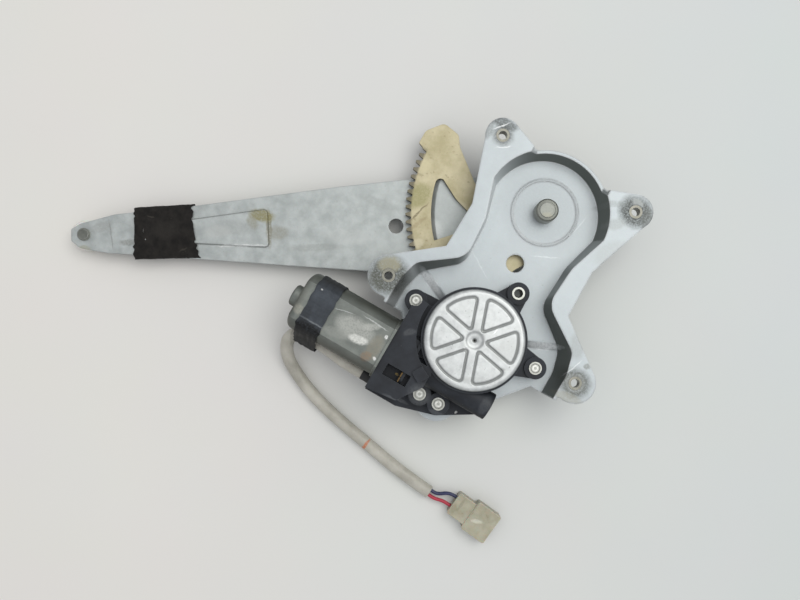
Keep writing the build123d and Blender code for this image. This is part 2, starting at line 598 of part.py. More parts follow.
with BuildPart() as gear_housing:
    # the round gear chamber and its locating boss
    with BuildSketch(Plane.XY.offset(DRUM_UNDER)):
        with Locations(gear):
            Circle(DRUM_R)
    extrude(amount=HOUSING_TOP - DRUM_UNDER)
    with BuildSketch(Plane.XY.offset(PLATE_UNDER)):
        with Locations(gear):
            Circle(BOSS_R)
    extrude(amount=DRUM_UNDER - PLATE_UNDER)
    # the flange along the motor
    with BuildSketch(Plane.XY.offset(FOOT)):
        Polygon(
            (HOUSING_FACE_X, HOUSING_BACK_Y), (HOUSING_FACE_X, HOUSING_FRONT_Y), (-20, HOUSING_FRONT_Y),
            (3.5, HOUSING_FRONT_Y + 6.9), (TUNNEL_END_X + 1.5, MOTOR_Y - 5.8), (TUNNEL_END_X - 8, MOTOR_Y),
            (-15, MOTOR_Y), (-28, HOUSING_BACK_Y), align=None,
        )
    extrude(amount=FLANGE_THICK)
    # the brush block
    with BuildSketch(Plane.XY.offset(FOOT)):
        Polygon(
            (HOUSING_FACE_X, HOUSING_BACK_Y - 1), (HOUSING_FACE_X, HOUSING_FRONT_Y + 3), (-22, HOUSING_FRONT_Y + 5),
            (-12, MOTOR_Y - 9), (-12, MOTOR_Y + 8), (-30, HOUSING_BACK_Y - 2), align=None,
        )
    extrude(amount=BLOCK_TOP - FOOT)
    # the worm tunnel
    with BuildSketch(Plane.YZ.offset(HOUSING_FACE_X + 10)):
        with Locations((MOTOR_Y, MOTOR_Z)):
            Circle(TUNNEL_R)
    extrude(amount=TUNNEL_END_X - HOUSING_FACE_X - 10)
    # screw ears on their webs
    for name, web in (("rear", 9.0), ("upper", 11.0), ("far", 11.0), ("tab", 9.0)):
        ear = motor_ears[name]
        ear_foot = PAN_FLOOR if name == "upper" else FOOT
        with BuildSketch(Plane.XY.offset(ear_foot)):
            with Locations(ear):
                Circle(EAR_R)
        extrude(amount=EAR_TOP - ear_foot)
        if name != "tab":
            reach = hypot(ear[0], ear[1] - GEAR_Y)
            turn = degrees(atan2(ear[1] - GEAR_Y, ear[0]))
            with BuildSketch(Plane(origin=(0, GEAR_Y, DRUM_UNDER), x_dir=(cos(radians(turn)), sin(radians(turn)), 0))):
                Polygon((DRUM_R - 6, -web), (reach, -EAR_R), (reach, EAR_R), (DRUM_R - 6, web), align=None)
            extrude(amount=EAR_TOP - DRUM_UNDER - 1.5)
    # the boss of the case stud, and a locating lug beside the pocket
    with BuildSketch(Plane.XY.offset(FOOT)):
        with Locations(STUD_AT):
            Circle(STUD_BOSS_R)
    extrude(amount=EAR_TOP - FOOT)
    with BuildSketch(Plane.XY.offset(BLOCK_TOP - 2)):
        with Locations(LUG_AT):
            RectangleRounded(*LUG_SIZE, 1, rotation=-30)
    extrude(amount=3.5)
    # a clear groove round the cover
    with BuildSketch(Plane.XY.offset(HOUSING_TOP)):
        with Locations(gear):
            Circle(DRUM_R + GROOVE_GAP)
    extrude(amount=5, mode=Mode.SUBTRACT)
    with BuildSketch(Plane.XY.offset(HOUSING_TOP)):
        with Locations(gear):
            Circle(DRUM_R + GROOVE_GAP)
            Circle(DRUM_R, mode=Mode.SUBTRACT)
            with Locations((-DRUM_R, -4)):
                Rectangle(DRUM_R + 6, 44, mode=Mode.INTERSECT)
    extrude(amount=-6, mode=Mode.SUBTRACT)
    # the gear chamber, the worm bore, the brush room and the output bore
    with Locations((0, GEAR_Y, HOUSING_TOP)):
        Hole(CHAMBER_R, depth=HOUSING_TOP - DRUM_UNDER - 3.2)
        Hole(BUSH_R)
    with BuildSketch(Plane.YZ.offset(HOUSING_FACE_X)):
        with Locations((MOTOR_Y, MOTOR_Z)):
            Circle(TUNNEL_BORE)
    extrude(amount=TUNNEL_END_X - HOUSING_FACE_X - 3, mode=Mode.SUBTRACT)
    with BuildSketch(Plane.YZ.offset(HOUSING_FACE_X)):
        with Locations((MOTOR_Y, MOTOR_Z)):
            RectangleRounded(*BRUSH_ROOM, 4)
    extrude(amount=BRUSH_ROOM_X - HOUSING_FACE_X, mode=Mode.SUBTRACT)
    # the pocket over the motor terminals
    with Locations((*SLOT_AT, BLOCK_TOP)):
        Box(*SLOT_SIZE, SLOT_DEPTH, align=(Align.CENTER, Align.CENTER, Align.MAX), mode=Mode.SUBTRACT)
    # sleeves in the ears, and the case stud
    with Locations(*[(x, y, EAR_TOP) for x, y in motor_ears.values()]):
        Hole(SLEEVE_OUTER_R)
    with Locations((*STUD_AT, EAR_TOP)):
        Hole(STUD_BORE_R)
gear_housing.part.label = "gear_housing"
export_step(gear_housing.part, "parts/gear_housing.step")


def sleeve(foot, place):
    """A steel sleeve that takes the screw's pull in a plastic ear."""
    return turned([(SLEEVE_INNER_R, foot), (SLEEVE_OUTER_R, foot), (SLEEVE_OUTER_R, EAR_TOP + 0.5),
                   (SLEEVE_INNER_R, EAR_TOP + 0.5)], place).part


sleeves = [sleeve(PAN_FLOOR if name == "upper" else FOOT, place) for name, place in motor_ears.items()]
with BuildPart() as screw_sleeves:
    add(sleeves)
screw_sleeves.part.label = "screw_sleeves"
export_step(screw_sleeves.part, "parts/screw_sleeves.step")

screw = [(0, PLATE_UNDER - SCREW_HEAD), (SCREW_HEAD_R - 1, PLATE_UNDER - SCREW_HEAD),
         (SCREW_HEAD_R, PLATE_UNDER - SCREW_HEAD + 1), (SCREW_HEAD_R, PLATE_UNDER), (SCREW_R, PLATE_UNDER),
         (SCREW_R, EAR_TOP + 0.3), (0, EAR_TOP + 0.3)]
screws = [turned(screw, place).part for place in screwed_ears]
with BuildPart() as mounting_screws:  # driven from behind, their tips flush with the sleeves
    add(screws)
mounting_screws.part.label = "mounting_screws"
export_step(mounting_screws.part, "parts/mounting_screws.step")

case_stud = turned(
    [(0, FOOT), (STUD_BORE_R, FOOT), (STUD_BORE_R, EAR_TOP), (SLEEVE_OUTER_R, EAR_TOP),
     (SLEEVE_OUTER_R, EAR_TOP + 0.7), (0, EAR_TOP + 0.7)], STUD_AT)
case_stud.part.label = "case_stud"
export_step(case_stud.part, "parts/case_stud.step")

# ---------------------------------------------------------------- pressed cover
COVER_SHEET = 1.2
COVER_EDGE_R = 2.2
PANEL_R = 24.2
SPOKE_HALF = 3.7
GROOVE_WIDTH = 1.7
GROOVE_DEPTH = 0.6
PANELS = 6
FIRST_PANEL = 19.0
DIMPLE_R = 5.3

with BuildSketch() as panel:  # one panel: a sector between two spokes, its corners rounded
    tip_x = SPOKE_HALF / sin(pi / PANELS)
    Polygon((tip_x, 0), (2 * PANEL_R, (2 * PANEL_R - tip_x) * tan(pi / PANELS)),
            (2 * PANEL_R, (tip_x - 2 * PANEL_R) * tan(pi / PANELS)), align=None)
    Circle(PANEL_R, mode=Mode.INTERSECT)
    fillet(panel.vertices(), radius=2.2)
with BuildSketch() as groove:
    add(panel.sketch)
    offset(panel.sketch, amount=-GROOVE_WIDTH, mode=Mode.SUBTRACT)

cover_blank = turned(
    [(0, COVER_TOP), (COVER_R - COVER_EDGE_R, COVER_TOP),
     (COVER_R - 0.3 * COVER_EDGE_R, COVER_TOP - 0.3 * COVER_EDGE_R), (COVER_R, COVER_TOP - COVER_EDGE_R),
     (COVER_R, HOUSING_TOP), (COVER_R - COVER_SHEET, HOUSING_TOP),
     (COVER_R - COVER_SHEET, COVER_TOP - COVER_SHEET), (0, COVER_TOP - COVER_SHEET)], gear)
with BuildPart() as gear_cover:
    add(cover_blank.part)
    with BuildSketch(Plane(origin=(0, GEAR_Y, COVER_TOP))):
        for number in range(PANELS):
            add(groove.sketch, rotation=FIRST_PANEL + number * 360 / PANELS)
        Circle(DIMPLE_R)
    extrude(amount=-GROOVE_DEPTH, mode=Mode.SUBTRACT)
    with Locations((0, GEAR_Y, COVER_TOP)):
        Hole(1.4)
gear_cover.part.label = "gear_cover"
export_step(gear_cover.part, "parts/gear_cover.step")

# ---------------------------------------------------------------- output shaft, worm wheel and damper
CHAMBER_FLOOR = DRUM_UNDER + 3.2
WHEEL_UNDER = MOTOR_Z - WHEEL_WIDTH / 2
WHEEL_TOP = MOTOR_Z + WHEEL_WIDTH / 2
WHEEL_TIP_R = WHEEL_R + WHEEL_MODULE
WHEEL_CUP_R = 17.5
WHEEL_HUB_R = 8.0
CUP_FLOOR = WHEEL_UNDER + 3.4
DRIVE_TOP = WHEEL_TOP + 1.9
FLAT_HALF = 3.0

output_bush = turned(
    [(SHAFT_R + RUNNING, PLATE_UNDER), (BUSH_R, PLATE_UNDER), (BUSH_R, CHAMBER_FLOOR),
     (SHAFT_R + RUNNING, CHAMBER_FLOOR)], gear)
output_bush.part.label = "output_bush"
export_step(output_bush.part, "parts/output_bush.step")

thrust_washer = turned(
    [(SHAFT_R + 0.1, CHAMBER_FLOOR), (WHEEL_HUB_R, CHAMBER_FLOOR), (WHEEL_HUB_R, CHAMBER_FLOOR + 0.9),
     (SHAFT_R + 0.1, CHAMBER_FLOOR + 0.9)], gear)
thrust_washer.part.label = "thrust_washer"
export_step(thrust_washer.part, "parts/thrust_washer.step")

pinion_profile = pinion_tooth(PINION_TEETH, SHIFT, PINION_ROOT_R, PINION_TIP_R)
PINION_TOP = PLATE_UNDER - FREE
PINION_UNDER = SECTOR_UNDER - 0.2

shaft_blank = turned(
    [(0, PINION_UNDER), (PINION_ROOT_R - 0.1, PINION_UNDER), (PINION_ROOT_R - 0.1, PINION_TOP),
     (SHAFT_R, PINION_TOP), (SHAFT_R, CHAMBER_FLOOR + 1), (WHEEL_HUB_R - 0.5, CHAMBER_FLOOR + 1),
     (WHEEL_HUB_R - 0.5, WHEEL_UNDER), (SHAFT_R, WHEEL_UNDER), (SHAFT_R, WHEEL_TOP), (SHAFT_R - 0.8, WHEEL_TOP),
     (SHAFT_R - 0.8, DRIVE_TOP), (SHAFT_R - 1.4, DRIVE_TOP), (SHAFT_R - 1.4, DRIVE_TOP + 0.9),
     (SHAFT_R - 0.8, DRIVE_TOP + 0.9), (SHAFT_R - 0.8, DRIVE_TOP + 2), (0, DRIVE_TOP + 2)], gear)
with BuildPart() as output_shaft:
    with BuildSketch(Plane(origin=(0, GEAR_Y, PINION_UNDER))):
        Circle(PINION_ROOT_R)
        for number in range(PINION_TEETH):
            add(pinion_profile.sketch, rotation=90 + number * 360 / PINION_TEETH)
    extrude(amount=PINION_TOP - PINION_UNDER)
    add(shaft_blank.part)
    with Locations((0, GEAR_Y + FLAT_HALF, WHEEL_TOP), (0, GEAR_Y - FLAT_HALF - SHAFT_R, WHEEL_TOP)):
        Box(3 * SHAFT_R, SHAFT_R, 20, align=(Align.CENTER, Align.MIN, Align.MIN), mode=Mode.SUBTRACT)
output_shaft.part.label = "output_shaft"
export_step(output_shaft.part, "parts/output_shaft.step")

WHEEL_ROOT_R = WHEEL_R - 1.2 * WHEEL_MODULE
with BuildSketch() as wheel_space:
    half_pitch = 90 / WHEEL_TEETH
    Polygon(
        around(WHEEL_ROOT_R, 0.6 * half_pitch, (0, 0)), around(WHEEL_TIP_R + 1, 1.6 * half_pitch, (0, 0)),
        around(WHEEL_TIP_R + 1, -1.6 * half_pitch, (0, 0)), around(WHEEL_ROOT_R, -0.6 * half_pitch, (0, 0)), align=None)

with BuildPart() as worm_wheel:
    with BuildSketch(Plane(origin=(0, GEAR_Y, WHEEL_UNDER))):
        Circle(WHEEL_TIP_R)
        for number in range(WHEEL_TEETH):
            add(wheel_space.sketch, rotation=270 + (number + 0.5) * 360 / WHEEL_TEETH, mode=Mode.SUBTRACT)
    extrude(amount=WHEEL_WIDTH)
    with BuildSketch(Plane(origin=(0, GEAR_Y, WHEEL_TOP))):
        Circle(WHEEL_CUP_R)
        Circle(WHEEL_HUB_R, mode=Mode.SUBTRACT)
    extrude(amount=CUP_FLOOR - WHEEL_TOP, mode=Mode.SUBTRACT)
    with Locations((0, GEAR_Y, WHEEL_TOP)):
        Hole(SHAFT_R + RUNNING)
worm_wheel.part.label = "worm_wheel"
export_step(worm_wheel.part, "parts/worm_wheel.step")

LUG_WIDTH = 5.0
LUG_IN, LUG_OUT = 10.5, 15.5
LUG_DROP = 4.5
LUGS = 3
with BuildPart() as damper_rubber:
    with BuildSketch(Plane(origin=(0, GEAR_Y, CUP_FLOOR))):
        Circle(WHEEL_CUP_R - 0.1)
        Circle(WHEEL_HUB_R + 0.1, mode=Mode.SUBTRACT)
    extrude(amount=WHEEL_TOP - CUP_FLOOR - 0.1)
    with BuildSketch(Plane(origin=(0, GEAR_Y, WHEEL_TOP))):
        with PolarLocations((LUG_IN + LUG_OUT) / 2, LUGS):
            Rectangle(LUG_OUT - LUG_IN + 0.4, LUG_WIDTH + 0.4)
    extrude(amount=-LUG_DROP - 0.4, mode=Mode.SUBTRACT)
damper_rubber.part.label = "damper_rubber"
export_step(damper_rubber.part, "parts/damper_rubber.step")

with BuildPart() as drive_plate:
    with BuildSketch(Plane(origin=(0, GEAR_Y, WHEEL_TOP + 0.1))):
        Circle(WHEEL_CUP_R - 0.5)
    extrude(amount=DRIVE_TOP - WHEEL_TOP - 0.15)
    with BuildSketch(Plane(origin=(0, GEAR_Y, WHEEL_TOP + 0.1))):
        with PolarLocations((LUG_IN + LUG_OUT) / 2, LUGS):
            Rectangle(LUG_OUT - LUG_IN, LUG_WIDTH)
    extrude(amount=-LUG_DROP)
    with BuildSketch(Plane(origin=(0, GEAR_Y, WHEEL_TOP))):
        Circle(SHAFT_R - 0.8 + SEATED)
        Rectangle(3 * SHAFT_R, 2 * (FLAT_HALF + SEATED), mode=Mode.INTERSECT)
    extrude(amount=5, mode=Mode.SUBTRACT)
drive_plate.part.label = "drive_plate"
export_step(drive_plate.part, "parts/drive_plate.step")

with BuildPart() as retaining_clip:
    with BuildSketch(Plane(origin=(0, GEAR_Y, DRIVE_TOP + 0.05))):
        Circle(6.0)
        Circle(SHAFT_R - 1.4 + SEATED, mode=Mode.SUBTRACT)
        with Locations((5, 0)):
            Rectangle(10, 5.2, mode=Mode.SUBTRACT)
    extrude(amount=0.8)
retaining_clip.part.label = "retaining_clip"
export_step(retaining_clip.part, "parts/retaining_clip.step")


# ================================================================ motor
def across(x):
    """The plane across the motor shaft at a place along it: local X is +Y, local Y is +Z."""
    return Plane(origin=(x, MOTOR_Y, MOTOR_Z), x_dir=(0, 1, 0), z_dir=(1, 0, 0))


def spun(profile):
    """A solid of revolution about the motor shaft, from place along the shaft and radius pairs."""
    with BuildPart() as solid:
        with BuildSketch(Plane(origin=(0, MOTOR_Y, MOTOR_Z), x_dir=(1, 0, 0), z_dir=(0, -1, 0))):
            Polygon(*profile, align=None)
        revolve(axis=Axis((0, MOTOR_Y, MOTOR_Z), (1, 0, 0)))
    return solid


YOKE_R = YOKE_WIDTH / 2
CAN_END = YOKE_END_X + YOKE_WALL
BEARING_R = 5.6
BOSS_END = YOKE_END_X - REAR_BOSS
with BuildPart() as motor_yoke:
    with BuildSketch(across(YOKE_END_X)):
        Circle(YOKE_R)
        Rectangle(3 * YOKE_R, YOKE_THICK, mode=Mode.INTERSECT)
    extrude(amount=HOUSING_FACE_X - YOKE_END_X)
    fillet(motor_yoke.edges().group_by(Axis.X)[0], radius=YOKE_EDGE_R)
    with BuildSketch(across(HOUSING_FACE_X - LIP_DEPTH)):
        Circle(LIP_R)
        Rectangle(3 * YOKE_R, LIP_THICK, mode=Mode.INTERSECT)
    extrude(amount=LIP_DEPTH)
    with BuildSketch(across(YOKE_END_X + 1)):
        Circle(REAR_BOSS_R)
    extrude(amount=-REAR_BOSS - 1)
    fillet(motor_yoke.edges().group_by(Axis.X)[0], radius=1.5)
    with BuildSketch(across(CAN_END)):
        Circle(YOKE_R - YOKE_WALL)
        Rectangle(3 * YOKE_R, YOKE_THICK - 2 * YOKE_WALL, mode=Mode.INTERSECT)
    extrude(amount=HOUSING_FACE_X - CAN_END, mode=Mode.SUBTRACT)
    with BuildSketch(across(BOSS_END + 1.4)):
        Circle(BEARING_R)
    extrude(amount=CAN_END - BOSS_END - 1.4, mode=Mode.SUBTRACT)
motor_yoke.part.label = "motor_yoke"
export_step(motor_yoke.part, "parts/motor_yoke.step")

with BuildPart() as field_magnets:
    with BuildSketch(across(CORE_START - 1)):
        Circle(YOKE_R - YOKE_WALL)
        Circle(CORE_R + AIR_GAP, mode=Mode.SUBTRACT)
        Rectangle(3 * YOKE_R, 2 * CORE_R * sin(radians(55)), mode=Mode.INTERSECT)
    extrude(amount=CORE_END - CORE_START + 2)
field_magnets.part.label = "field_magnets"
export_step(field_magnets.part, "parts/field_magnets.step")

rear_bearing = spun(
    [(BOSS_END + 2.4, ARMATURE_R + RUNNING), (CAN_END, ARMATURE_R + RUNNING), (CAN_END, BEARING_R - 0.6),
     (CAN_END - 1.5, BEARING_R), (BOSS_END + 3, BEARING_R), (BOSS_END + 2.4, BEARING_R - 0.6)])
rear_bearing.part.label = "rear_bearing"
export_step(rear_bearing.part, "parts/rear_bearing.step")

TUNNEL_CLOSED = TUNNEL_END_X - 3
THRUST_THICK = 1.0
SHAFT_TIP = TUNNEL_CLOSED - THRUST_THICK - 0.1
armature_shaft = spun(
    [(BOSS_END + 2, 0), (BOSS_END + 2, ARMATURE_R), (-WORM_HALF - 1.2, ARMATURE_R), (-WORM_HALF, WORM_ROOT_R),
     (WORM_HALF, WORM_ROOT_R), (WORM_HALF + 1.2, ARMATURE_R), (SHAFT_TIP - 0.6, ARMATURE_R),
     (SHAFT_TIP, ARMATURE_R - 0.6), (SHAFT_TIP, 0)])
armature_shaft.part.label = "armature_shaft"
export_step(armature_shaft.part, "parts/armature_shaft.step")

CORE_SLOTS = 8
with BuildPart() as armature_core:
    with BuildSketch(across(CORE_START)):
        Circle(CORE_R)
        with PolarLocations(CORE_R - 2.6, CORE_SLOTS):
            Rectangle(6.4, 1.6, mode=Mode.SUBTRACT)
        Circle(ARMATURE_R, mode=Mode.SUBTRACT)
    extrude(amount=CORE_END - CORE_START)
armature_core.part.label = "armature_core"
export_step(armature_core.part, "parts/armature_core.step")

WINDING_R = 10.4
WINDING_DEPTH = 4.6


def end_turns(face, way):
    """The bundle of wire at one end of the armature core."""
    return spun([(face, ARMATURE_R), (face, WINDING_R), (face + way * (WINDING_DEPTH - 2), WINDING_R),
                 (face + way * WINDING_DEPTH, WINDING_R - 2.5), (face + way * WINDING_DEPTH, ARMATURE_R + 1),
                 (face + way * (WINDING_DEPTH - 1), ARMATURE_R)]).part


windings = [end_turns(CORE_START, -1), end_turns(CORE_END, 1)]
with BuildPart() as armature_windings:
    add(windings)
armature_windings.part.label = "armature_windings"
export_step(armature_windings.part, "parts/armature_windings.step")

BARS = 8
with BuildPart() as commutator:
    with BuildSketch(across(COMMUTATOR_START)):
        Circle(COMMUTATOR_R)
        with PolarLocations(COMMUTATOR_R, BARS, start_angle=180 / BARS):
            Rectangle(1.6, 0.6, mode=Mode.SUBTRACT)
        Circle(ARMATURE_R, mode=Mode.SUBTRACT)
    extrude(amount=COMMUTATOR_END - COMMUTATOR_START)
commutator.part.label = "commutator"
export_step(commutator.part, "parts/commutator.step")


def shaft_bush(start, stop):
    """A sintered bush of the motor shaft, pressed into the worm bore."""
    return spun([(start, ARMATURE_R + RUNNING), (start, TUNNEL_BORE), (stop, TUNNEL_BORE),
                 (stop, ARMATURE_R + RUNNING)]).part


bushes = [shaft_bush(-WORM_HALF - 8.5, -WORM_HALF - 2.5), shaft_bush(WORM_HALF + 2.5, WORM_HALF + 7.5)]
with BuildPart() as worm_bushes:
    add(bushes)
worm_bushes.part.label = "worm_bushes"
export_step(worm_bushes.part, "parts/worm_bushes.step")

thrust_button = spun([(TUNNEL_CLOSED - THRUST_THICK, 0), (TUNNEL_CLOSED - THRUST_THICK, 4), (TUNNEL_CLOSED, 5),
                      (TUNNEL_CLOSED, 0)])
thrust_button.part.label = "thrust_button"
export_step(thrust_button.part, "parts/thrust_button.step")

BRUSH = 4.6  # side of a brush
BRUSH_X = (COMMUTATOR_START + COMMUTATOR_END) / 2
BRUSH_LENGTH = 4.5
HOLDER_X = BRUSH_ROOM_X - 1.8
BOX_WALL = 1.0
CHUTE_IN = COMMUTATOR_R + 1.2
CHUTE_OUT = BRUSH_ROOM[0] / 2 - 0.2
with BuildPart() as brush_holder:
    with BuildSketch(across(HOLDER_X)):
        RectangleRounded(BRUSH_ROOM[0] - 0.2, BRUSH_ROOM[1] - 0.2, 3.8)
        Circle(COMMUTATOR_R + 0.8, mode=Mode.SUBTRACT)
    extrude(amount=1.7)
    with BuildSketch(across(BRUSH_X - BRUSH / 2 - BOX_WALL)):
        for way in (1, -1):
            with Locations((way * (CHUTE_IN + CHUTE_OUT) / 2, 0)):
                Rectangle(CHUTE_OUT - CHUTE_IN, BRUSH + 2 * BOX_WALL)
    extrude(amount=HOLDER_X + 0.5 - BRUSH_X + BRUSH / 2 + BOX_WALL)
    with Locations((BRUSH_X, MOTOR_Y, MOTOR_Z)):
        Box(BRUSH + 0.1, 2 * CHUTE_OUT - 1, BRUSH + 0.1, mode=Mode.SUBTRACT)
brush_holder.part.label = "brush_holder"
export_step(brush_holder.part, "parts/brush_holder.step")

with BuildPart() as brushes:
    for way in (1, -1):
        with Locations((BRUSH_X, MOTOR_Y + way * (COMMUTATOR_R + 0.1 + BRUSH_LENGTH / 2), MOTOR_Z)):
            Box(BRUSH, BRUSH_LENGTH, BRUSH)
brushes.part.label = "brushes"
export_step(brushes.part, "parts/brushes.step")

SPRING_OUT = CHUTE_OUT - 0.75
SPRING_IN = COMMUTATOR_R + BRUSH_LENGTH + 0.3
with BuildPart() as brush_springs:  # leaf springs, folded like a Z behind each brush
    for way in (1, -1):
        with BuildSketch(Plane(origin=(BRUSH_X, MOTOR_Y, MOTOR_Z - 1.5))):
            with BuildLine() as leaf:
                Polyline((-1.8, way * SPRING_IN), (1.6, way * (SPRING_IN + 0.4)),
                         (-1.6, way * (SPRING_OUT - 0.4)), (1.8, way * SPRING_OUT))
                offset(amount=0.15)
            make_face()
        extrude(amount=3)
brush_springs.part.label = "brush_springs"
export_step(brush_springs.part, "parts/brush_springs.step")

with BuildPart() as thermal_breaker:  # on the brush plate, beside the commutator
    with Locations((HOLDER_X, MOTOR_Y + 10, MOTOR_Z + 5.9)):
        Box(5, 6, 4, align=(Align.MAX, Align.CENTER, Align.CENTER))
thermal_breaker.part.label = "thermal_breaker"
export_step(thermal_breaker.part, "parts/thermal_breaker.step")

with BuildPart() as motor_terminals:
    with Locations((HOLDER_X, MOTOR_Y - 8.8, MOTOR_Z + 3.8), (HOLDER_X, MOTOR_Y - 12.0, MOTOR_Z + 3.8)):
        Box(0.8, 2.8, 6.5, align=(Align.MAX, Align.CENTER, Align.MIN))
motor_terminals.part.label = "motor_terminals"
export_step(motor_terminals.part, "parts/motor_terminals.step")

# ================================================================ lead
LEAD_D = 8.0  # vinyl sleeve over two wires
WIRE_D = 2.2
LEAD_Y = -161.1  # where the lead leaves the housing
LEAD_Z = -13.5
GROMMET = 6.0
LIE = TABLE + LEAD_D / 2  # height of the sleeve's middle where it lies on the table
GROMMET_END = HOUSING_FACE_X - GROMMET
TAPED = [(-158.8, -15.3), (-160.3, -16.4)]  # where the lead enters and leaves the cloth tape, Y and Z
LEAD_ROUTE = [
    (GROMMET_END, LEAD_Y, LEAD_Z), (-59.0, LEAD_Y, LEAD_Z), (-72.0, -159.2, -15.0), (-85.0, *TAPED[0]),
    (-90.2, -159.3, -15.7), (-94.7, -162.2, -17.6), (-96.6, -167.4, -21.6), (-95.1, -173.0, -26.5),
    (-91.2, -178.6, -31.0), (-83.0, -184.0, LIE), (-68.0, -190.4, LIE), (-47.0, -195.8, LIE), (-21.0, -200.3, LIE),
    (4.0, -205.0, LIE), (26.0, -206.8, LIE),
]


def route_radii(route):
    """The bend at each corner of a lead, as large as its two runs allow."""
    points = [Vector(*point) for point in route]
    radii = []
    for before, here, after in zip(points, points[1:], points[2:]):
        turn = radians((here - before).get_angle(after - here))
        radii.append(0.45 * min((here - before).length, (after - here).length) / tan(turn / 2))
    return radii


def lead(route, diameter):
    """A tube along a route of straight runs and tangent arcs."""
    with BuildPart() as tube:
        with BuildLine() as path:
            FilletPolyline(*route, radius=route_radii(route))
        with BuildSketch(Plane(origin=path.line @ 0, z_dir=path.line % 0)):
            Circle(diameter / 2)
        sweep()
    section = pi * diameter ** 2 / 4
    length = sum(edge.length for edge in path.edges())
    print("lead radii", [round(r, 1) for r in route_radii(route)], "length", round(length, 1),
          "volume ratio", round(tube.part.volume / section / length, 4))
    return tube


lead_sleeve = lead(LEAD_ROUTE, LEAD_D)
lead_sleeve.part.label = "lead_sleeve"
export_step(lead_sleeve.part, "parts/lead_sleeve.step")

with BuildPart() as lead_grommet:
    with BuildSketch(Plane(origin=(HOUSING_FACE_X, LEAD_Y, LEAD_Z), x_dir=(0, 1, 0), z_dir=(-1, 0, 0))):
        Circle(LEAD_D / 2 + 0.2)
    extrude(amount=GROMMET, taper=1)
lead_grommet.part.label = "lead_grommet"
export_step(lead_grommet.part, "parts/lead_grommet.step")

# the plug, lying at the end of the lead
PLUG_ANGLE = -6.0
PLUG_AT = (42.0, -204.3)
PLUG_BODY = (13.0, 15.0, 8.4)
PLUG_HOOD = (16.5, 20.0, 9.0)
PLUG_WALL = 1.6
plug_plane = Plane(origin=(*PLUG_AT, TABLE), x_dir=(cos(radians(PLUG_ANGLE)), sin(radians(PLUG_ANGLE)), 0))
SOCKET_DEPTH = PLUG_HOOD[0] - 3
WIRE_PITCH = 6.6

with BuildPart() as plug_housing:
    with BuildSketch(plug_plane):
        Rectangle(PLUG_BODY[0], PLUG_BODY[1], align=(Align.MIN, Align.CENTER))
    extrude(amount=PLUG_BODY[2])
    with BuildSketch(plug_plane):
        with Locations((PLUG_BODY[0] - 0.5, 0)):
            Rectangle(PLUG_HOOD[0] + 0.5, PLUG_HOOD[1], align=(Align.MIN, Align.CENTER))
    extrude(amount=PLUG_HOOD[2])
    fillet(plug_housing.edges().filter_by(Axis.Z), radius=1.2)
    with BuildSketch(Plane(origin=plug_plane.from_local_coords((PLUG_BODY[0] + PLUG_HOOD[0], 0, PLUG_HOOD[2] / 2)),
                           x_dir=plug_plane.y_dir, z_dir=plug_plane.x_dir)):
        Rectangle(PLUG_HOOD[1] - 2 * PLUG_WALL, PLUG_HOOD[2] - 2 * PLUG_WALL)
    extrude(amount=-SOCKET_DEPTH, mode=Mode.SUBTRACT)
plug_housing.part.label = "plug_housing"
export_step(plug_housing.part, "parts/plug_housing.step")

with BuildPart() as plug_terminals:
    for way in (1, -1):
        blade = plug_plane.from_local_coords((PLUG_BODY[0] + 3.0, way * WIRE_PITCH / 2, PLUG_HOOD[2] / 2))
        with BuildSketch(Plane(origin=blade, x_dir=plug_plane.y_dir, z_dir=plug_plane.x_dir)):
            Rectangle(4.6, 0.8)
        extrude(amount=9)
plug_terminals.part.label = "plug_terminals"
export_step(plug_terminals.part, "parts/plug_terminals.step")

lead_end = Vector(*LEAD_ROUTE[-1])
last_run = (lead_end - Vector(*LEAD_ROUTE[-2])).normalized()
sideways = Vector(-last_run.Y, last_run.X, 0)


def wire(way):
    """One wire from the sleeve's end into the back of the plug."""
    entry = plug_plane.from_local_coords((0, way * WIRE_PITCH / 2, PLUG_BODY[2] / 2))
    start = lead_end + sideways * (way * 1.6)
    route = [start, start + last_run * 5, entry - plug_plane.x_dir * 5, entry]
    return lead([tuple(point) for point in route], WIRE_D).part


wires = [wire(1), wire(-1)]
with BuildPart() as lead_wires:
    add(wires)
lead_wires.part.label = "lead_wires"
export_step(lead_wires.part, "parts/lead_wires.step")

# cloth tape that holds the lead to the motor
TAPE_X = (-92.5, -78.0)
CLOTH = 0.7
CLOTH_SLACK = 0.4  # over the motor
LEAD_SLACK = 0.6  # over the lead


def wrapped(grow):
    """The outline of the motor and the lead beside it, wrapped tight and grown outwards."""
    with BuildSketch() as can:
        Circle(YOKE_R + CLOTH_SLACK + grow)
        Rectangle(3 * YOKE_R, YOKE_THICK + 2 * (CLOTH_SLACK + grow), mode=Mode.INTERSECT)
    with BuildSketch() as beside:
        with Locations(*[(y - MOTOR_Y, z - MOTOR_Z) for y, z in TAPED]):
            Circle(LEAD_D / 2 + LEAD_SLACK + grow)
    with BuildSketch() as outline:
        make_hull(can.sketch.edges() + beside.sketch.edges())
    return outline.sketch


tape_outside = wrapped(CLOTH)
tape_inside = wrapped(0)
with BuildPart() as motor_tape:
    with BuildSketch(across(TAPE_X[0])):
        add(tape_outside)
        add(tape_inside, mode=Mode.SUBTRACT)
    extrude(amount=TAPE_X[1] - TAPE_X[0])
motor_tape.part.label = "motor_tape"
export_step(motor_tape.part, "parts/motor_tape.step")
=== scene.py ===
import math

import bpy
import numpy as np
from mathutils import Matrix, Vector


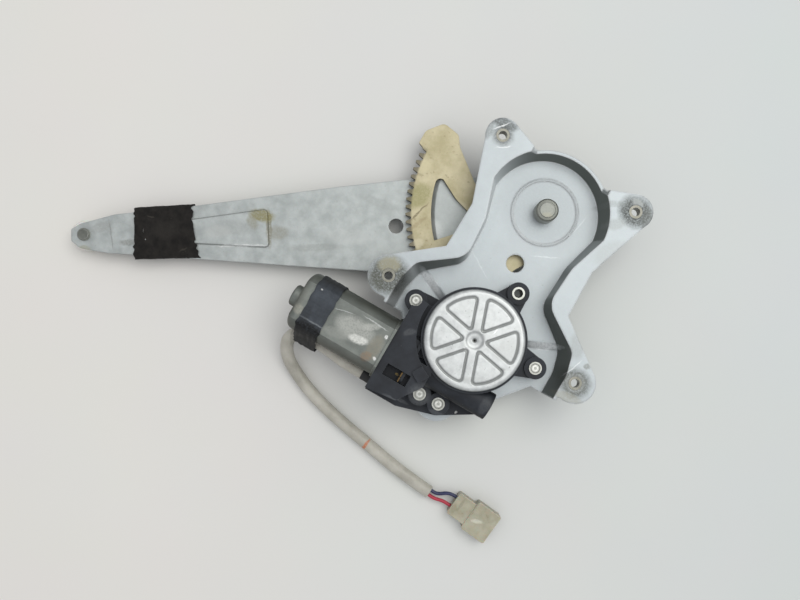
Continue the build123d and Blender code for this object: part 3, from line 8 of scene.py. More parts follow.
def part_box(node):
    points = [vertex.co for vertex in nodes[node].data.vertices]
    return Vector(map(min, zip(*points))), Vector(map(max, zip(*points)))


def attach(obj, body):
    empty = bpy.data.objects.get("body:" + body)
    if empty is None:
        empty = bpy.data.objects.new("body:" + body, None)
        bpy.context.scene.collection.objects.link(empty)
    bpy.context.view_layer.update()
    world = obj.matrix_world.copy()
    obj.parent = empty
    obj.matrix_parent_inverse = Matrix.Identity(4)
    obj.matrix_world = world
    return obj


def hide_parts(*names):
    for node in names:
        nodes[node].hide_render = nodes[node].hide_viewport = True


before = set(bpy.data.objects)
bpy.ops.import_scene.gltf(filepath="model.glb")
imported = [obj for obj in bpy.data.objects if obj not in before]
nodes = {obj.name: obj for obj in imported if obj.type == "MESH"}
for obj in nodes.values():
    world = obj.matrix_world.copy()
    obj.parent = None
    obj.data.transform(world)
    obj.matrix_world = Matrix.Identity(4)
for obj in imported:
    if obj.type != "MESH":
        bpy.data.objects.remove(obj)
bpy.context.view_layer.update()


# ---------------------------------------------------------------- view
# The regulator lies on a table, motor up, and is seen from straight above its motor side, turned
# thirty degrees. The view is square to the table, so the shift alone brings the long arm into it.
VIEW_HEIGHT = 0.424  # from the ears' face to the lens
VIEW_OVER = (-0.0304, -0.123)  # the place on the plate that the lens stands over
VIEW_TURN = 30  # degrees
VIEW_MIDDLE = (418, 331)  # where that place falls in a frame of 800 by 600
METRES_PER_STEP = 0.00058  # covered by one step of those 800 at the ears' face

view_lens = bpy.data.cameras.new("view")
view_lens.sensor_width = 36
view_lens.lens = VIEW_HEIGHT / METRES_PER_STEP / 800 * 36
view_lens.shift_x = (400 - VIEW_MIDDLE[0]) / 800
view_lens.shift_y = (VIEW_MIDDLE[1] - 300) / 800
view = bpy.data.objects.new("view", view_lens)
bpy.context.collection.objects.link(view)
view.matrix_world = (Matrix.Translation((*VIEW_OVER, VIEW_HEIGHT))
                     @ Matrix.Rotation(math.radians(VIEW_TURN), 4, "Z"))
bpy.context.scene.camera = view
bpy.context.scene.view_settings.view_transform = "Standard"


# ---------------------------------------------------------------- table and light
# A pale laminate table top, wiped matt, its colour a touch darker and cooler along one way across it. The light
# is one broad soft lamp over the round end of the plate, in a room that is dimmer towards its walls.
TABLE = -0.038  # its height below the ears' face
TABLE_HALF = 2.4
FADE_WAY = (0.866, 0.5, 0)  # the way along the table
LAMP_AT = Vector((0.34, 0.62, 1.62))
LAMP_AIM = Vector((-0.05, -0.1, -0.02))


def linear(code):
    """An sRGB hex colour as the linear red, green, blue and alpha that a shader takes."""
    parts = np.array([int(code[i:i + 2], 16) for i in (1, 3, 5)]) / 255
    parts = np.where(parts <= 0.04045, parts / 12.92, ((parts + 0.055) / 1.055) ** 2.4)
    return (*parts.tolist(), 1.0)


def add(tree, kind, inputs=None, **settings):
    """Adds a node with its settings, and gives each named input a value or a link."""
    node = tree.nodes.new(kind)
    for key, value in settings.items():
        setattr(node, key, value)
    for name, value in (inputs or {}).items():
        if isinstance(value, bpy.types.NodeSocket):
            tree.links.new(value, node.inputs[name])
        else:
            node.inputs[name].default_value = value
    return node


def ramp(tree, value, low, high, least=0.0, most=1.0):
    """A straight ramp from least, where the value is low, to most, where it is high, and level past both."""
    return add(tree, "ShaderNodeMapRange", {"Value": value, "From Min": low, "From Max": high, "To Min": least,
                                            "To Max": most}).outputs["Result"]


def mixed(tree, share, under, over, way="MIX"):
    """The colour under with its share of the colour over."""
    return add(tree, "ShaderNodeMix", {0: share, 6: under, 7: over}, data_type="RGBA", blend_type=way).outputs[2]


laminate = bpy.data.materials.new("matt_laminate")  # even and pale, with a faint cloud where it was wiped
laminate.use_nodes = True
tree = laminate.node_tree
place = add(tree, "ShaderNodeTexCoord").outputs["Object"]
across = add(tree, "ShaderNodeVectorMath", {0: place, 1: FADE_WAY}, operation="DOT_PRODUCT").outputs["Value"]
wiped = add(tree, "ShaderNodeTexNoise", {"Vector": place, "Scale": 1000 / 90, "Detail": 2.0}).outputs["Color"]
# the table's colour grows a touch darker and cooler along one way across it
tone = mixed(tree, ramp(tree, across, -0.28, 0.14), linear("#DCDBD7"), linear("#CBD0CF"))
tree.links.new(mixed(tree, 0.04, tone, wiped, "OVERLAY"), tree.nodes["Principled BSDF"].inputs["Base Color"])
tree.nodes["Principled BSDF"].inputs["Roughness"].default_value = 0.62
tree.nodes["Principled BSDF"].inputs["Specular IOR Level"].default_value = 0.25

table_mesh = bpy.data.meshes.new("table")
table_mesh.from_pydata([(x * TABLE_HALF, y * TABLE_HALF, TABLE) for x, y in ((-1, -1), (1, -1), (1, 1), (-1, 1))],
                       [], [(0, 1, 2, 3)])
table_mesh.materials.append(laminate)
table = bpy.data.objects.new("table", table_mesh)
bpy.context.collection.objects.link(table)

room = bpy.data.worlds.new("room")
room.use_nodes = True
tree = room.node_tree
aim = add(tree, "ShaderNodeTexCoord").outputs["Generated"]
height = add(tree, "ShaderNodeSeparateXYZ", {"Vector": aim}).outputs["Z"]
tree.links.new(ramp(tree, height, 0.0, 0.9, 0.36, 0.84), tree.nodes["Background"].inputs["Strength"])
tree.nodes["Background"].inputs["Color"].default_value = linear("#FDFDFF")
bpy.context.scene.world = room

lamp_light = bpy.data.lights.new("lamp", "AREA")
lamp_light.shape = "DISK"
lamp_light.size = 1.5
lamp_light.energy = 15
lamp_light.color = linear("#FFFDF8")[:3]
lamp = bpy.data.objects.new("lamp", lamp_light)
bpy.context.collection.objects.link(lamp)
lamp.matrix_world = Matrix.Translation(LAMP_AT) @ (LAMP_AT - LAMP_AIM).to_track_quat("Z", "Y").to_matrix().to_4x4()


# ---------------------------------------------------------------- lead and its wires
# A soft vinyl sleeve over two wires. It leaves the housing, runs under the tape on the motor, folds
# back down to the table and lies along it to the plug, dull and a little grimy, with one paint mark.
LEAD_D = 0.008
WIRE_D = 0.0022
WIRES_OFF = 0.0016  # each from the sleeve's middle
PLUG_OFF = 0.0033  # each from the plug's middle
PLUG_TURN = math.radians(-6)
PLUG_BACK = np.array((0.042, -0.2043, TABLE + 0.0042))
LEAD_ROUTE = [
    (-0.0467, -0.1611, -0.0135), (-0.0590, -0.1611, -0.0135), (-0.0720, -0.1592, -0.0150),
    (-0.0850, -0.1588, -0.0153), (-0.0902, -0.1593, -0.0157), (-0.0947, -0.1622, -0.0176),
    (-0.0966, -0.1674, -0.0216), (-0.0951, -0.1730, -0.0265), (-0.0912, -0.1786, -0.0310),
    (-0.0830, -0.1840, -0.0340), (-0.0680, -0.1904, -0.0340), (-0.0470, -0.1958, -0.0340),
    (-0.0210, -0.2003, -0.0340), (0.0040, -0.2050, -0.0340), (0.0260, -0.2068, -0.0340),
]


def laid(name, route, diameter, material):
    """A round lead along the smooth second-order spline of its route's points."""
    curve = bpy.data.curves.new(name, "CURVE")
    curve.dimensions = "3D"
    curve.bevel_depth = diameter / 2
    curve.bevel_resolution = 6
    curve.resolution_u = 16
    curve.use_fill_caps = True
    line = curve.splines.new("NURBS")
    line.points.add(len(route) - 1)
    for point, at in zip(line.points, route):
        point.co = (*at, 1)
    line.order_u = 3
    line.use_endpoint_u = True
    curve.materials.append(material)
    piece = bpy.data.objects.new(name, curve)
    bpy.context.collection.objects.link(piece)
    return piece


def finish(name, tones, cloud, grain, rough, metal=0.0, relief=0.03, wall=None, shaded=None, edge_tone=None, specks=None,
           marks=(), round_off=0.3, ragged=1.2, **sockets):
    """A finish in millimetres on the object's own coordinates: two tones in clouds, a fine grain in tone, gloss
    and relief, a tone for steep walls and a tone along edges, which is wear and on the zinc plate also a painted
    highlight. Where shaded gives a way, only the walls that face it take the wall tone, as painted shade, and the
    others take the edge tone, as painted light. Over all lie specks of a size, share, tone and strength, and ovals
    with ragged rims, of dirt and wear and some of painted shade and painted light, each given by its middle, half
    length, half width, turn in degrees, tone and strength."""
    material = bpy.data.materials.new(name)
    material.use_nodes = True
    tree = material.node_tree
    shader = tree.nodes["Principled BSDF"]
    place = add(tree, "ShaderNodeTexCoord").outputs["Object"]
    clouds = add(tree, "ShaderNodeTexNoise", {"Vector": place, "Scale": 1000 / cloud, "Detail": 5.0,
                                              "Roughness": 0.62}).outputs["Fac"]
    fine = add(tree, "ShaderNodeTexNoise", {"Vector": place, "Scale": 1000 / grain, "Detail": 3.0})
    tone = mixed(tree, ramp(tree, clouds, 0.36, 0.64), linear(tones[0]), linear(tones[1]))
    tone = mixed(tree, 0.12, tone, fine.outputs["Color"], "SOFT_LIGHT")
    flat = add(tree, "ShaderNodeNewGeometry").outputs["Normal"]
    rounded = add(tree, "ShaderNodeBevel", {"Radius": round_off / 1000}, samples=4).outputs["Normal"]
    if wall:
        lean = add(tree, "ShaderNodeSeparateXYZ", {"Vector": flat}).outputs["Z"]
        steep = ramp(tree, lean, 0.8, 0.45, most=0.85)
        # walls that face the way shaded take the wall tone as painted shade, the others the edge tone as painted
        # light
        if shaded:
            facing = add(tree, "ShaderNodeVectorMath", {0: rounded, 1: (*shaded, 0)}, operation="DOT_PRODUCT")
            away = ramp(tree, facing.outputs["Value"], -0.35, 0.5, least=0.15)
            lit = add(tree, "ShaderNodeMath", {0: steep, 1: away}, operation="SUBTRACT", use_clamp=True).outputs[0]
            tone = mixed(tree, lit, tone, linear(edge_tone))
            steep = add(tree, "ShaderNodeMath", {0: steep, 1: away}, operation="MULTIPLY").outputs[0]
        tone = mixed(tree, steep, tone, linear(wall))
    # the edges take their own tone: wear, and on the zinc plate a painted highlight too
    if edge_tone:
        turn = add(tree, "ShaderNodeVectorMath", {0: flat, 1: rounded}, operation="DOT_PRODUCT").outputs["Value"]
        tone = mixed(tree, ramp(tree, turn, 0.985, 0.86, most=0.75), tone, linear(edge_tone))
    if specks:
        size, share, colour, strength = specks
        dots = add(tree, "ShaderNodeTexNoise", {"Vector": place, "Scale": 1000 / size, "Detail": 3.0,
                                                "Roughness": 0.7}).outputs["Fac"]
        tone = mixed(tree, ramp(tree, dots, 0.68 - share, 0.73 - share, most=strength), tone, linear(colour))
    if marks:
        mark_mottle = add(tree, "ShaderNodeTexNoise", {"Vector": place, "Scale": 1000 / 1.1, "Detail": 5.0,
                                                "Roughness": 0.75}).outputs["Fac"]
        patchy = ramp(tree, mark_mottle, 0.38, 0.54, least=0.5)
        stir = add(tree, "ShaderNodeTexNoise", {"Vector": place, "Scale": 1000 / 3.5, "Detail": 4.0})
        push = add(tree, "ShaderNodeVectorMath", {0: stir.outputs["Color"], 1: (0.5, 0.5, 0.5)},
                   operation="SUBTRACT").outputs[0]
        moved = add(tree, "ShaderNodeVectorMath", {0: push, 1: (ragged / 500,) * 3, 2: place},
                    operation="MULTIPLY_ADD").outputs[0]
    for x, y, long, wide, turned, colour, strength in marks:
        local = add(tree, "ShaderNodeMapping", {
            "Vector": moved, "Location": (x / 1000, y / 1000, 0),
            "Rotation": (0, 0, math.radians(turned)), "Scale": (long / 1000, wide / 1000, 1.0)},
            vector_type="TEXTURE").outputs[0]
        away = add(tree, "ShaderNodeVectorMath", {0: local}, operation="LENGTH").outputs["Value"]
        inside = ramp(tree, away, 1.15, 0.7, most=strength)
        mark_share = add(tree, "ShaderNodeMath", {0: inside, 1: patchy}, operation="MULTIPLY").outputs[0]
        tone = mixed(tree, mark_share, tone, linear(colour))
    gloss = ramp(tree, clouds, 0.3, 0.7, rough[0], rough[1])
    bumps = add(tree, "ShaderNodeBump", {"Height": fine.outputs["Fac"], "Distance": relief / 1000,
                                         "Strength": 1.0, "Normal": rounded})
    tree.links.new(tone, shader.inputs["Base Color"])
    tree.links.new(gloss, shader.inputs["Roughness"])
    tree.links.new(bumps.outputs["Normal"], shader.inputs["Normal"])
    shader.inputs["Metallic"].default_value = metal
    for socket, value in sockets.items():
        shader.inputs[socket.replace("_", " ")].default_value = value
    return material


def dress(material, *names):
    """Gives CAD nodes their finish."""
    for name in names:
        nodes[name].data.materials.clear()
        nodes[name].data.materials.append(material)


# dull grey-beige vinyl: soft gloss, finger dirt in patches, an orange paint stroke across it, and a dark line of
# painted shade where it kinks past the tape
sleeve_vinyl = finish(
    "grey_vinyl_sleeve", ("#A3A196", "#B9B7AD"), 14, 0.9, (0.42, 0.6), relief=0.03, round_off=0.2,
    specks=(1.6, 0.02, "#7B786C", 0.5),
    # the second oval, a dark line just past the tape, is the painted shade of a crease at the sleeve's kink
    marks=[(-23.4, -202.1, 1.1, 6, -10, "#B8622F", 0.85), (-94, -164, 1.4, 6, 20, "#6E6C64", 0.5),
           (-84, -184, 9, 3, -30, "#8A887F", 0.5), (10, -206, 6, 2, -8, "#918F86", 0.4)])
# wire insulation: smooth glossy PVC, one navy and one crimson
navy_wire = finish("navy_wire", ("#20264C", "#2A3058"), 5, 0.5, (0.3, 0.4), relief=0.005, round_off=0.1)
crimson_wire = finish("crimson_wire", ("#A01C33", "#B22840"), 5, 0.5, (0.3, 0.4), relief=0.005, round_off=0.1)

lead = laid("lead", LEAD_ROUTE, LEAD_D, sleeve_vinyl)
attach(lead, "base")
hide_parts("lead_sleeve")

lead_end = np.array(LEAD_ROUTE[-1])
lead_run = lead_end - np.array(LEAD_ROUTE[-2])
lead_run /= np.linalg.norm(lead_run)
lead_side = np.array((-lead_run[1], lead_run[0], 0))
plug_ahead = np.array((math.cos(PLUG_TURN), math.sin(PLUG_TURN), 0))
plug_side = np.array((-math.sin(PLUG_TURN), math.cos(PLUG_TURN), 0))
wires = []
for name, way, material in (("wire_navy", 1, navy_wire), ("wire_crimson", -1, crimson_wire)):
    start = lead_end + lead_side * way * WIRES_OFF
    entry = PLUG_BACK + plug_side * way * PLUG_OFF
    route = [start - lead_run * 0.004, start, start + lead_run * 0.005, entry - plug_ahead * 0.005, entry]
    wires.append(laid(name, route, WIRE_D, material))
    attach(wires[-1], "base")
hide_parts("lead_wires")

# black moulded rubber, dull: the grommet that the lead comes out of, and the wheel's damper
dress(finish("moulded_rubber", ("#1E1F20", "#2A2B2C"), 6, 0.6, (0.55, 0.7), relief=0.02),
      "lead_grommet", "damper_rubber")


# ---------------------------------------------------------------- plug
# A two-way plug of unfilled nylon, moulded in one piece and slightly see-through at its edges, with
# a pair of stamped blades inside its hood.

# bare nylon, aged to a warm grey: waxy, darker on its sides and pale where its edges are rubbed
nylon = finish("natural_nylon", ("#98947E", "#AEAB97"), 8, 0.7, (0.24, 0.38), relief=0.01, edge_tone="#CFCCBC",
               wall="#88856F", round_off=0.9, specks=(2.2, 0.01, "#837F6B", 0.5),
               # the second oval, a pale streak at the hood's oblique end, is a painted highlight
               marks=[(47, -203, 1.0, 5, -6, "#7E7B68", 0.5), (60, -207, 4, 1.2, 20, "#D9D7CB", 0.6),
                      (55.5, -199, 0.7, 7, -6, "#86836F", 0.5)],
               Subsurface_Weight=0.3, Subsurface_Scale=0.002)
dress(nylon, "plug_housing")

# brass: tinned and bright on the plug's blades, tarnished brown on those of the motor
dress(finish("tinned_brass", ("#B7AF98", "#CBC4AF"), 4, 0.4, (0.25, 0.4), metal=1.0, relief=0.004),
      "plug_terminals")
dress(finish("tarnished_brass", ("#57462B", "#6B5735"), 3, 0.4, (0.4, 0.55), metal=0.7, relief=0.004),
      "motor_terminals")


# ---------------------------------------------------------------- base plate
# One pressing of steel sheet, zinc plated and years old: dull blue-grey with handling scratches and dirt in the ears
# about the screw holes. Its drawn walls are painted olive-grey shade where they face away from the lamp and painted
# light where they face it, and its bends carry painted highlights.
EARS = {"upper_left": (-44.5, 0), "upper_right": (44.5, 0), "lower_left": (-61.3, -103.7),
        "lower_right": (63.7, -103.7)}

plate_marks = [
    (*EARS["lower_left"], 12.5, 12, 0, "#45473E", 0.92), (-64, -98, 7, 5, 30, "#A9A58C", 0.6),
    (-66, -110, 6, 4, -30, "#55574F", 0.6), (*EARS["lower_right"], 9.2, 8.6, 0, "#50534E", 0.9),
    (*EARS["lower_right"], 5.6, 5.4, 30, "#A5A8A4", 0.6), (64, -113, 9, 3, 10, "#8C8B7E", 0.6),
    (*EARS["upper_right"], 10.6, 9.4, 0, "#464A48", 0.95), (52, -1, 3.4, 7, 20, "#575B58", 0.6),
    (43, 5, 4, 2.4, 0, "#A5AAA9", 0.6), (*EARS["upper_left"], 6.6, 6.4, 0, "#636766", 0.75),
    (-47, 6.4, 8.5, 3.4, 8, "#505453", 0.85), (-53, -1, 2.4, 6, 10, "#6E7270", 0.6),
    (64.9, -92.0, 1.9, 1.9, 0, "#7A7D78", 0.7), (38, -12, 6, 3.5, 40, "#8E9391", 0.5),
    (54, -84, 5, 9, 20, "#8F9390", 0.45), (30, -3, 8, 2, 30, "#7E8381", 0.4),
    (-47.5, 4.5, 6, 0.35, 50, "#F0F3F4", 0.6), (-41, -6, 5, 0.3, 35, "#EEF1F2", 0.5),
    (58, -97, 7, 0.35, 70, "#EEF1F2", 0.45), (14, -46, 9, 0.3, 24, "#E4E9EB", 0.35),
    (-18, -70, 11, 0.35, -30, "#DDE3E5", 0.3), (22, -20, 8, 0.3, 80, "#E6EAEC", 0.3),
    (-10, -92, 12, 5, 20, "#B0B6B6", 0.35), (28, -60, 9, 4, 60, "#B3B9BA", 0.3),
    # the wide dark oval round the pivot is painted shade from the pan's round wall, and the two pale bands at the V
    # step are painted light over its slopes
    (0, -21, 27, 24, 0, "#8B9295", 0.4), (-38.5, -93.4, 10, 2.5, -24, "#E8EDEF", 1.0),
    (39.5, -93, 10, 2.5, 24, "#E8EDEF", 1.0), (44, -28, 12, 7, 50, "#9BA09E", 0.4),
]
# zinc plate on cold-rolled sheet: satin, faint grain of the roll, bright along its edges with wear and a painted
# highlight
zinc = finish("dull_zinc_plate", ("#A3AAAD", "#B5BDC0"), 24, 0.7, (0.38, 0.52), metal=0.5, relief=0.012,
              # the walls facing the way shaded take the olive wall tone as painted shade, the others the pale edge
              # tone as painted light
              wall="#565B53", shaded=(-0.4, -0.92), edge_tone="#F6FAFB", round_off=1.5,
              specks=(1.9, 0.0, "#8D9290", 0.6), marks=plate_marks)
dress(zinc, "base_plate")

# weld nuts: turned steel, browned by the weld
nut_steel = finish("browned_nut_steel", ("#77776D", "#95948A"), 5, 0.5, (0.35, 0.5), metal=0.6, relief=0.01,
                   edge_tone="#CDCFCA")
dress(nut_steel, "weld_nuts")


# ---------------------------------------------------------------- pivot
# A headed steel pin, turned and zinc plated, riveted over a washer under the arm. A sintered bush in
# the arm's hub turns on it.
PIVOT_Y = -23.2  # in millimetres, as the places of all marks are

# turned and zinc plated steel: satin, its sides paler than the grimy ends
turned_steel = finish("turned_steel", ("#62655F", "#757872"), 5, 0.45, (0.32, 0.46), metal=0.6, relief=0.008,
                      wall="#AFB1A9", edge_tone="#D3D6D3", specks=(1.2, 0.02, "#75776E", 0.6),
                      marks=[(0, PIVOT_Y, 4.6, 4.6, 0, "#A9ACA7", 0.35), (1.5, -25.8, 3.5, 1.6, 20, "#8F8D7C", 0.45)])
dress(turned_steel, "pivot_pin", "pivot_washer", "roller_stud", "output_shaft", "armature_shaft", "thrust_washer",
      "retaining_clip", "rear_bearing")

# sintered bronze, soaked in oil: brown, dull and slightly open
dress(finish("sintered_bronze", ("#8E6F40", "#A5834E"), 3, 0.3, (0.4, 0.55), metal=0.9, relief=0.01),
      "hub_bush", "output_bush")


# ---------------------------------------------------------------- sector gear
# A blanked steel sector, yellow passivated and gone cream, with old grease dark along its teeth.
# Three rivets and the hub bush hold it to the arm.
TOOTH_ROOT = 0.0798  # metres from the pivot, where the grease begins
HEAD_EDGE = -0.0235  # above this Y is the plain head, which has no teeth

sector_marks = [
    (-72, -52, 11, 7, 60, "#8E8C5E", 0.75), (-40, -86, 9, 6, 20, "#BFA28C", 0.7),
    (-78, -34, 6, 4, 30, "#C9C19F", 0.6), (-58, -78, 5, 3, 50, "#D6CFB6", 0.6),
    (-66, -60, 8, 0.6, 75, "#5F5338", 0.7), (-50, -48, 9, 5, 30, "#D2CBB4", 0.6),
    (-63, -66, 7, 1.2, 70, "#8F7D5E", 0.4), (-30, -100, 7, 2.5, -30, "#97876A", 0.45),
    (-78, -40, 4, 1, 10, "#8C8064", 0.5),
]
# zinc plate under a yellow passivate that has gone cream, stained brown and olive, greasy at the teeth
cream = finish("aged_yellow_passivate", ("#A69E7C", "#C6BE9F"), 12, 0.8, (0.42, 0.58), metal=0.3, relief=0.012,
               wall="#5E5742", edge_tone="#8E8364", specks=(2.4, 0.05, "#7F7050", 0.5), marks=sector_marks)
tree = cream.node_tree
place = add(tree, "ShaderNodeTexCoord").outputs["Object"]
flat_place = add(tree, "ShaderNodeVectorMath", {0: place, 1: (1, 1, 0)}, operation="MULTIPLY").outputs[0]
reach = add(tree, "ShaderNodeVectorMath", {0: flat_place, 1: (0, PIVOT_Y / 1000, 0)},
            operation="DISTANCE").outputs["Value"]
along_y = add(tree, "ShaderNodeSeparateXYZ", {"Vector": place}).outputs["Y"]
below_head = ramp(tree, along_y, HEAD_EDGE, HEAD_EDGE - 0.003, most=0.8)
greased = ramp(tree, reach, TOOTH_ROOT, TOOTH_ROOT + 0.0014, most=below_head)
base = tree.nodes["Principled BSDF"].inputs["Base Color"]
tree.links.new(mixed(tree, greased, base.links[0].from_socket, linear("#5A5548")), base)
dress(cream, "sector_gear")

# the rivets: bare steel, set cold
dress(finish("rivet_steel", ("#9A9A92", "#ADADA5"), 5, 0.5, (0.35, 0.5), metal=0.6, relief=0.01), "arm_rivets")


# ---------------------------------------------------------------- lift arm
# A long pressed arm of bare oiled steel, satin grey, with a raised rib near its end, a set hole near the hub,
# grease stains where hands turned it and a dark line by the roller, painted as the shade of a crease.
ARM_TURN = 212.4
ARM_LINE = ARM_TURN - 180  # the turn of a mark that runs along the arm


def on_arm(along, across):
    """A place on the arm, in millimetres from the pivot along it and across it, in the plate's X and Y."""
    turn = math.radians(ARM_TURN)
    return (along * math.cos(turn) - across * math.sin(turn),
            PIVOT_Y + along * math.sin(turn) + across * math.cos(turn))


arm_marks = [
    (*on_arm(168, 1), 1.6, 12, ARM_LINE, "#77735F", 0.7), (*on_arm(172, -7), 8, 4, 20, "#857F54", 0.85),
    (*on_arm(178, -3), 3, 5, 60, "#8B8873", 0.6), (*on_arm(163, 4), 7, 4.5, ARM_LINE, "#8D8C80", 0.6),
    (*on_arm(186, 11), 17, 0.8, 30, "#D9DCDB", 0.7), (*on_arm(190, 0), 16, 5, ARM_LINE, "#8F9290", 0.3),
    (*on_arm(100, -12), 14, 3, 10, "#8F9492", 0.4), (*on_arm(140, 14), 18, 2.4, 32, "#8A8E8B", 0.4),
    # a thin dark line across the arm by the roller: the painted shade of a crease
    (*on_arm(265.5, 1), 0.5, 10, 38, "#7C7D79", 0.5),
    (*on_arm(283, 9), 5, 2.4, ARM_LINE, "#8F8B63", 0.45), (*on_arm(120, 8), 16, 5, 25, "#BEC2C0", 0.4),
    (*on_arm(200, 2), 9, 4, ARM_LINE, "#B9BBB8", 0.35), (*on_arm(255, 6), 6, 2, ARM_LINE, "#6C6C66", 0.5),
    (*on_arm(70, 6), 9, 7, ARM_LINE, "#D0D3D2", 0.5), (*on_arm(272, -4), 8, 3, 50, "#8C8D8A", 0.4),
]
# cold-rolled steel, oiled: satin, clouded, with bright sheared edges
dress(finish("oiled_arm_steel", ("#9FA5A4", "#B5BBBA"), 9, 0.8, (0.4, 0.55), metal=0.5, relief=0.02,
             wall="#868A86", edge_tone="#C6CAC9", specks=(1.5, 0.02, "#858986", 0.5), marks=arm_marks, round_off=1.0),
      "lift_arm")


# ---------------------------------------------------------------- felt on the arm
# A strip of black-brown fleece wrapped round the arm so that it doesn't rattle on the door. It was
# cut by hand: its ends run askew, its upper edge is ragged and its lower corner droops.
ARM_TOP = -26.0  # millimetres, as all the sizes here
ARM_SHEET = 2.2
FELT_OFF = 1.0  # from the arm's faces to the fleece's surface
FELT_HALF = 16.6  # half its width at the lower end; at the upper it is 0.6 less
FELT_FROM = 213.6  # along the arm from the pivot
FELT_TO = 250.9


def spread_mesh(name, points, material, closed_u=False):
    """A mesh of the grid points[u, v, xyz], joined along v, and along u all round where closed_u is set."""
    rows, columns = points.shape[:2]
    index = np.arange(rows * columns).reshape(rows, columns)
    here, there = (index, np.roll(index, -1, 0)) if closed_u else (index[:-1], index[1:])
    faces = np.stack([here[:, :-1], there[:, :-1], there[:, 1:], here[:, 1:]], -1).reshape(-1, 4)
    mesh = bpy.data.meshes.new(name)
    mesh.from_pydata(points.reshape(-1, 3).tolist(), [], faces.tolist())
    mesh.polygons.foreach_set("use_smooth", np.ones(len(faces), bool))
    mesh.materials.append(material)
    piece = bpy.data.objects.new(name, mesh)
    bpy.context.collection.objects.link(piece)
    return piece


def waves(a, b, seed, step, count=24):
    """Smooth uneven ripples over two lengths: a sum of count cosines with seeded directions, lengths near step
    and phases, scaled to about one."""
    chance = np.random.default_rng(seed)
    turn = chance.uniform(0, 2 * np.pi, count)
    size = 2 * np.pi / (step * chance.uniform(0.7, 1.8, count))
    phase = chance.uniform(0, 2 * np.pi, count)
    along = a[..., None] * np.cos(turn) + b[..., None] * np.sin(turn)
    return np.cos(along * size + phase).sum(-1) / np.sqrt(count)


def thicken(piece, thickness):
    """Gives an open skin a wall of that many metres, inwards from its surface."""
    wall = piece.modifiers.new("wall", "SOLIDIFY")
    wall.thickness = thickness
    wall.offset = -1


def felt_wrap():
    """u runs round the arm's section, a flat oval that stands off its faces, and v along the arm between two skewed
    ends. The nap stands up in ripples 2 and 7 mm long, the middle is crowned over the rib's end, and the outer
    corner of the lower end droops."""
    u = np.linspace(0, 2 * np.pi, 260, endpoint=False)[:, None]
    v = np.linspace(0, 1, 110)[None, :]
    wide = FELT_HALF - 0.6 * v
    oval = np.sign(np.cos(u)) * np.abs(np.cos(u)) ** 0.35
    rise = np.sign(np.sin(u)) * np.abs(np.sin(u)) ** 0.55
    across = 0.6 + wide * oval
    head = FELT_TO + 0.045 * across + 0.35 * waves(across, across * 0, 5, 3.0)
    foot = FELT_FROM - 0.055 * across + 0.8 * waves(across, across * 0, 9, 4.0)
    droop = np.clip((across - 14) / 4, 0, 1) * np.clip(1 - v * 3, 0, 1)
    along = foot + (head - foot) * v - droop * 2.6
    crown = 1.15 * np.exp(-((across - 1.0) / 8.5) ** 2) * np.clip((244 - along) / 6, 0, 1)
    top = np.clip(rise, 0, 1)
    height = ARM_TOP - ARM_SHEET / 2 + rise * (ARM_SHEET / 2 + FELT_OFF) + top * (0.25 + crown)
    nap = 0.05 * waves(along, across, 3, 2.2) + 0.1 * waves(along, across, 4, 7.0)
    height = height + nap * rise
    across = across + nap * oval * 0.6 + droop * 0.8
    x, y = on_arm(along, across)
    return np.stack([x, y, height], -1) / 1000


# needled fleece: matt, mottled, its fibres catching the light as a soft sheen
fleece = finish("black_brown_fleece", ("#191817", "#272523"), 5, 0.6, (0.92, 1.0), relief=0.08, round_off=0.1,
                specks=(1.4, -0.03, "#6A665E", 0.7),
                marks=[(*on_arm(232, 0), 9, 6, 30, "#33312E", 0.4), (*on_arm(221, 12), 3, 0.6, 60, "#4A4741", 0.4),
                       (*on_arm(240, -9), 2.4, 0.5, 10, "#4F4C46", 0.4)],
                Sheen_Weight=0.15, Sheen_Roughness=0.5, Specular_IOR_Level=0.15)
felt = spread_mesh("felt_wrap", felt_wrap(), fleece, closed_u=True)
thicken(felt, 0.0007)
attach(felt, "arm")
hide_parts("arm_felt")


# ---------------------------------------------------------------- glass roller
# A moulded roller that runs on the stud under the arm's tip, in the channel of the glass. The worm wheel
# inside the housing is moulded in the same white plastic.

# acetal: white, waxy, with a little light going through its skin
dress(finish("white_acetal", ("#DDDCD6", "#E6E5E0"), 8, 0.7, (0.3, 0.4), relief=0.006, wall="#C9C8C1",
             Subsurface_Weight=0.15, Subsurface_Scale=0.001), "glass_roller", "worm_wheel")


# ---------------------------------------------------------------- gear housing
# Injection-moulded glass-filled nylon, charcoal with a blue cast, fine sparked grain, scuffed grey on
# its edges and speckled with dust. Steel sleeves and screws hold it to the plate.
housing_marks = [
    (-28.5, -150.8, 1.0, 0.7, 0, "#B59A55", 0.8), (13.4, -153.8, 0.9, 0.7, 0, "#D7D8D6", 0.8),
    (-11.1, -154.7, 7.3, 7.3, 0, "#5C5F62", 0.5), (6, -160, 9, 2, 5, "#5D6165", 0.4),
    (-34, -126, 4, 2, 40, "#66696B", 0.35), (24, -141, 3, 6, 0, "#575B5F", 0.4),
    (-22, -164, 8, 1.3, 0, "#6A6D70", 0.45),
]
# charcoal nylon filled with glass: dull, finely sparked, scuffed grey at its edges, with a few chips of dirt
dress(finish("charcoal_filled_nylon", ("#22252A", "#30343A"), 12, 0.6, (0.46, 0.6), relief=0.025,
             wall="#17191D", edge_tone="#5E6368", specks=(1.2, -0.04, "#8B8E90", 0.6), marks=housing_marks,
             Specular_IOR_Level=0.25), "gear_housing", "thermal_breaker", "brush_holder", "worm_bushes")

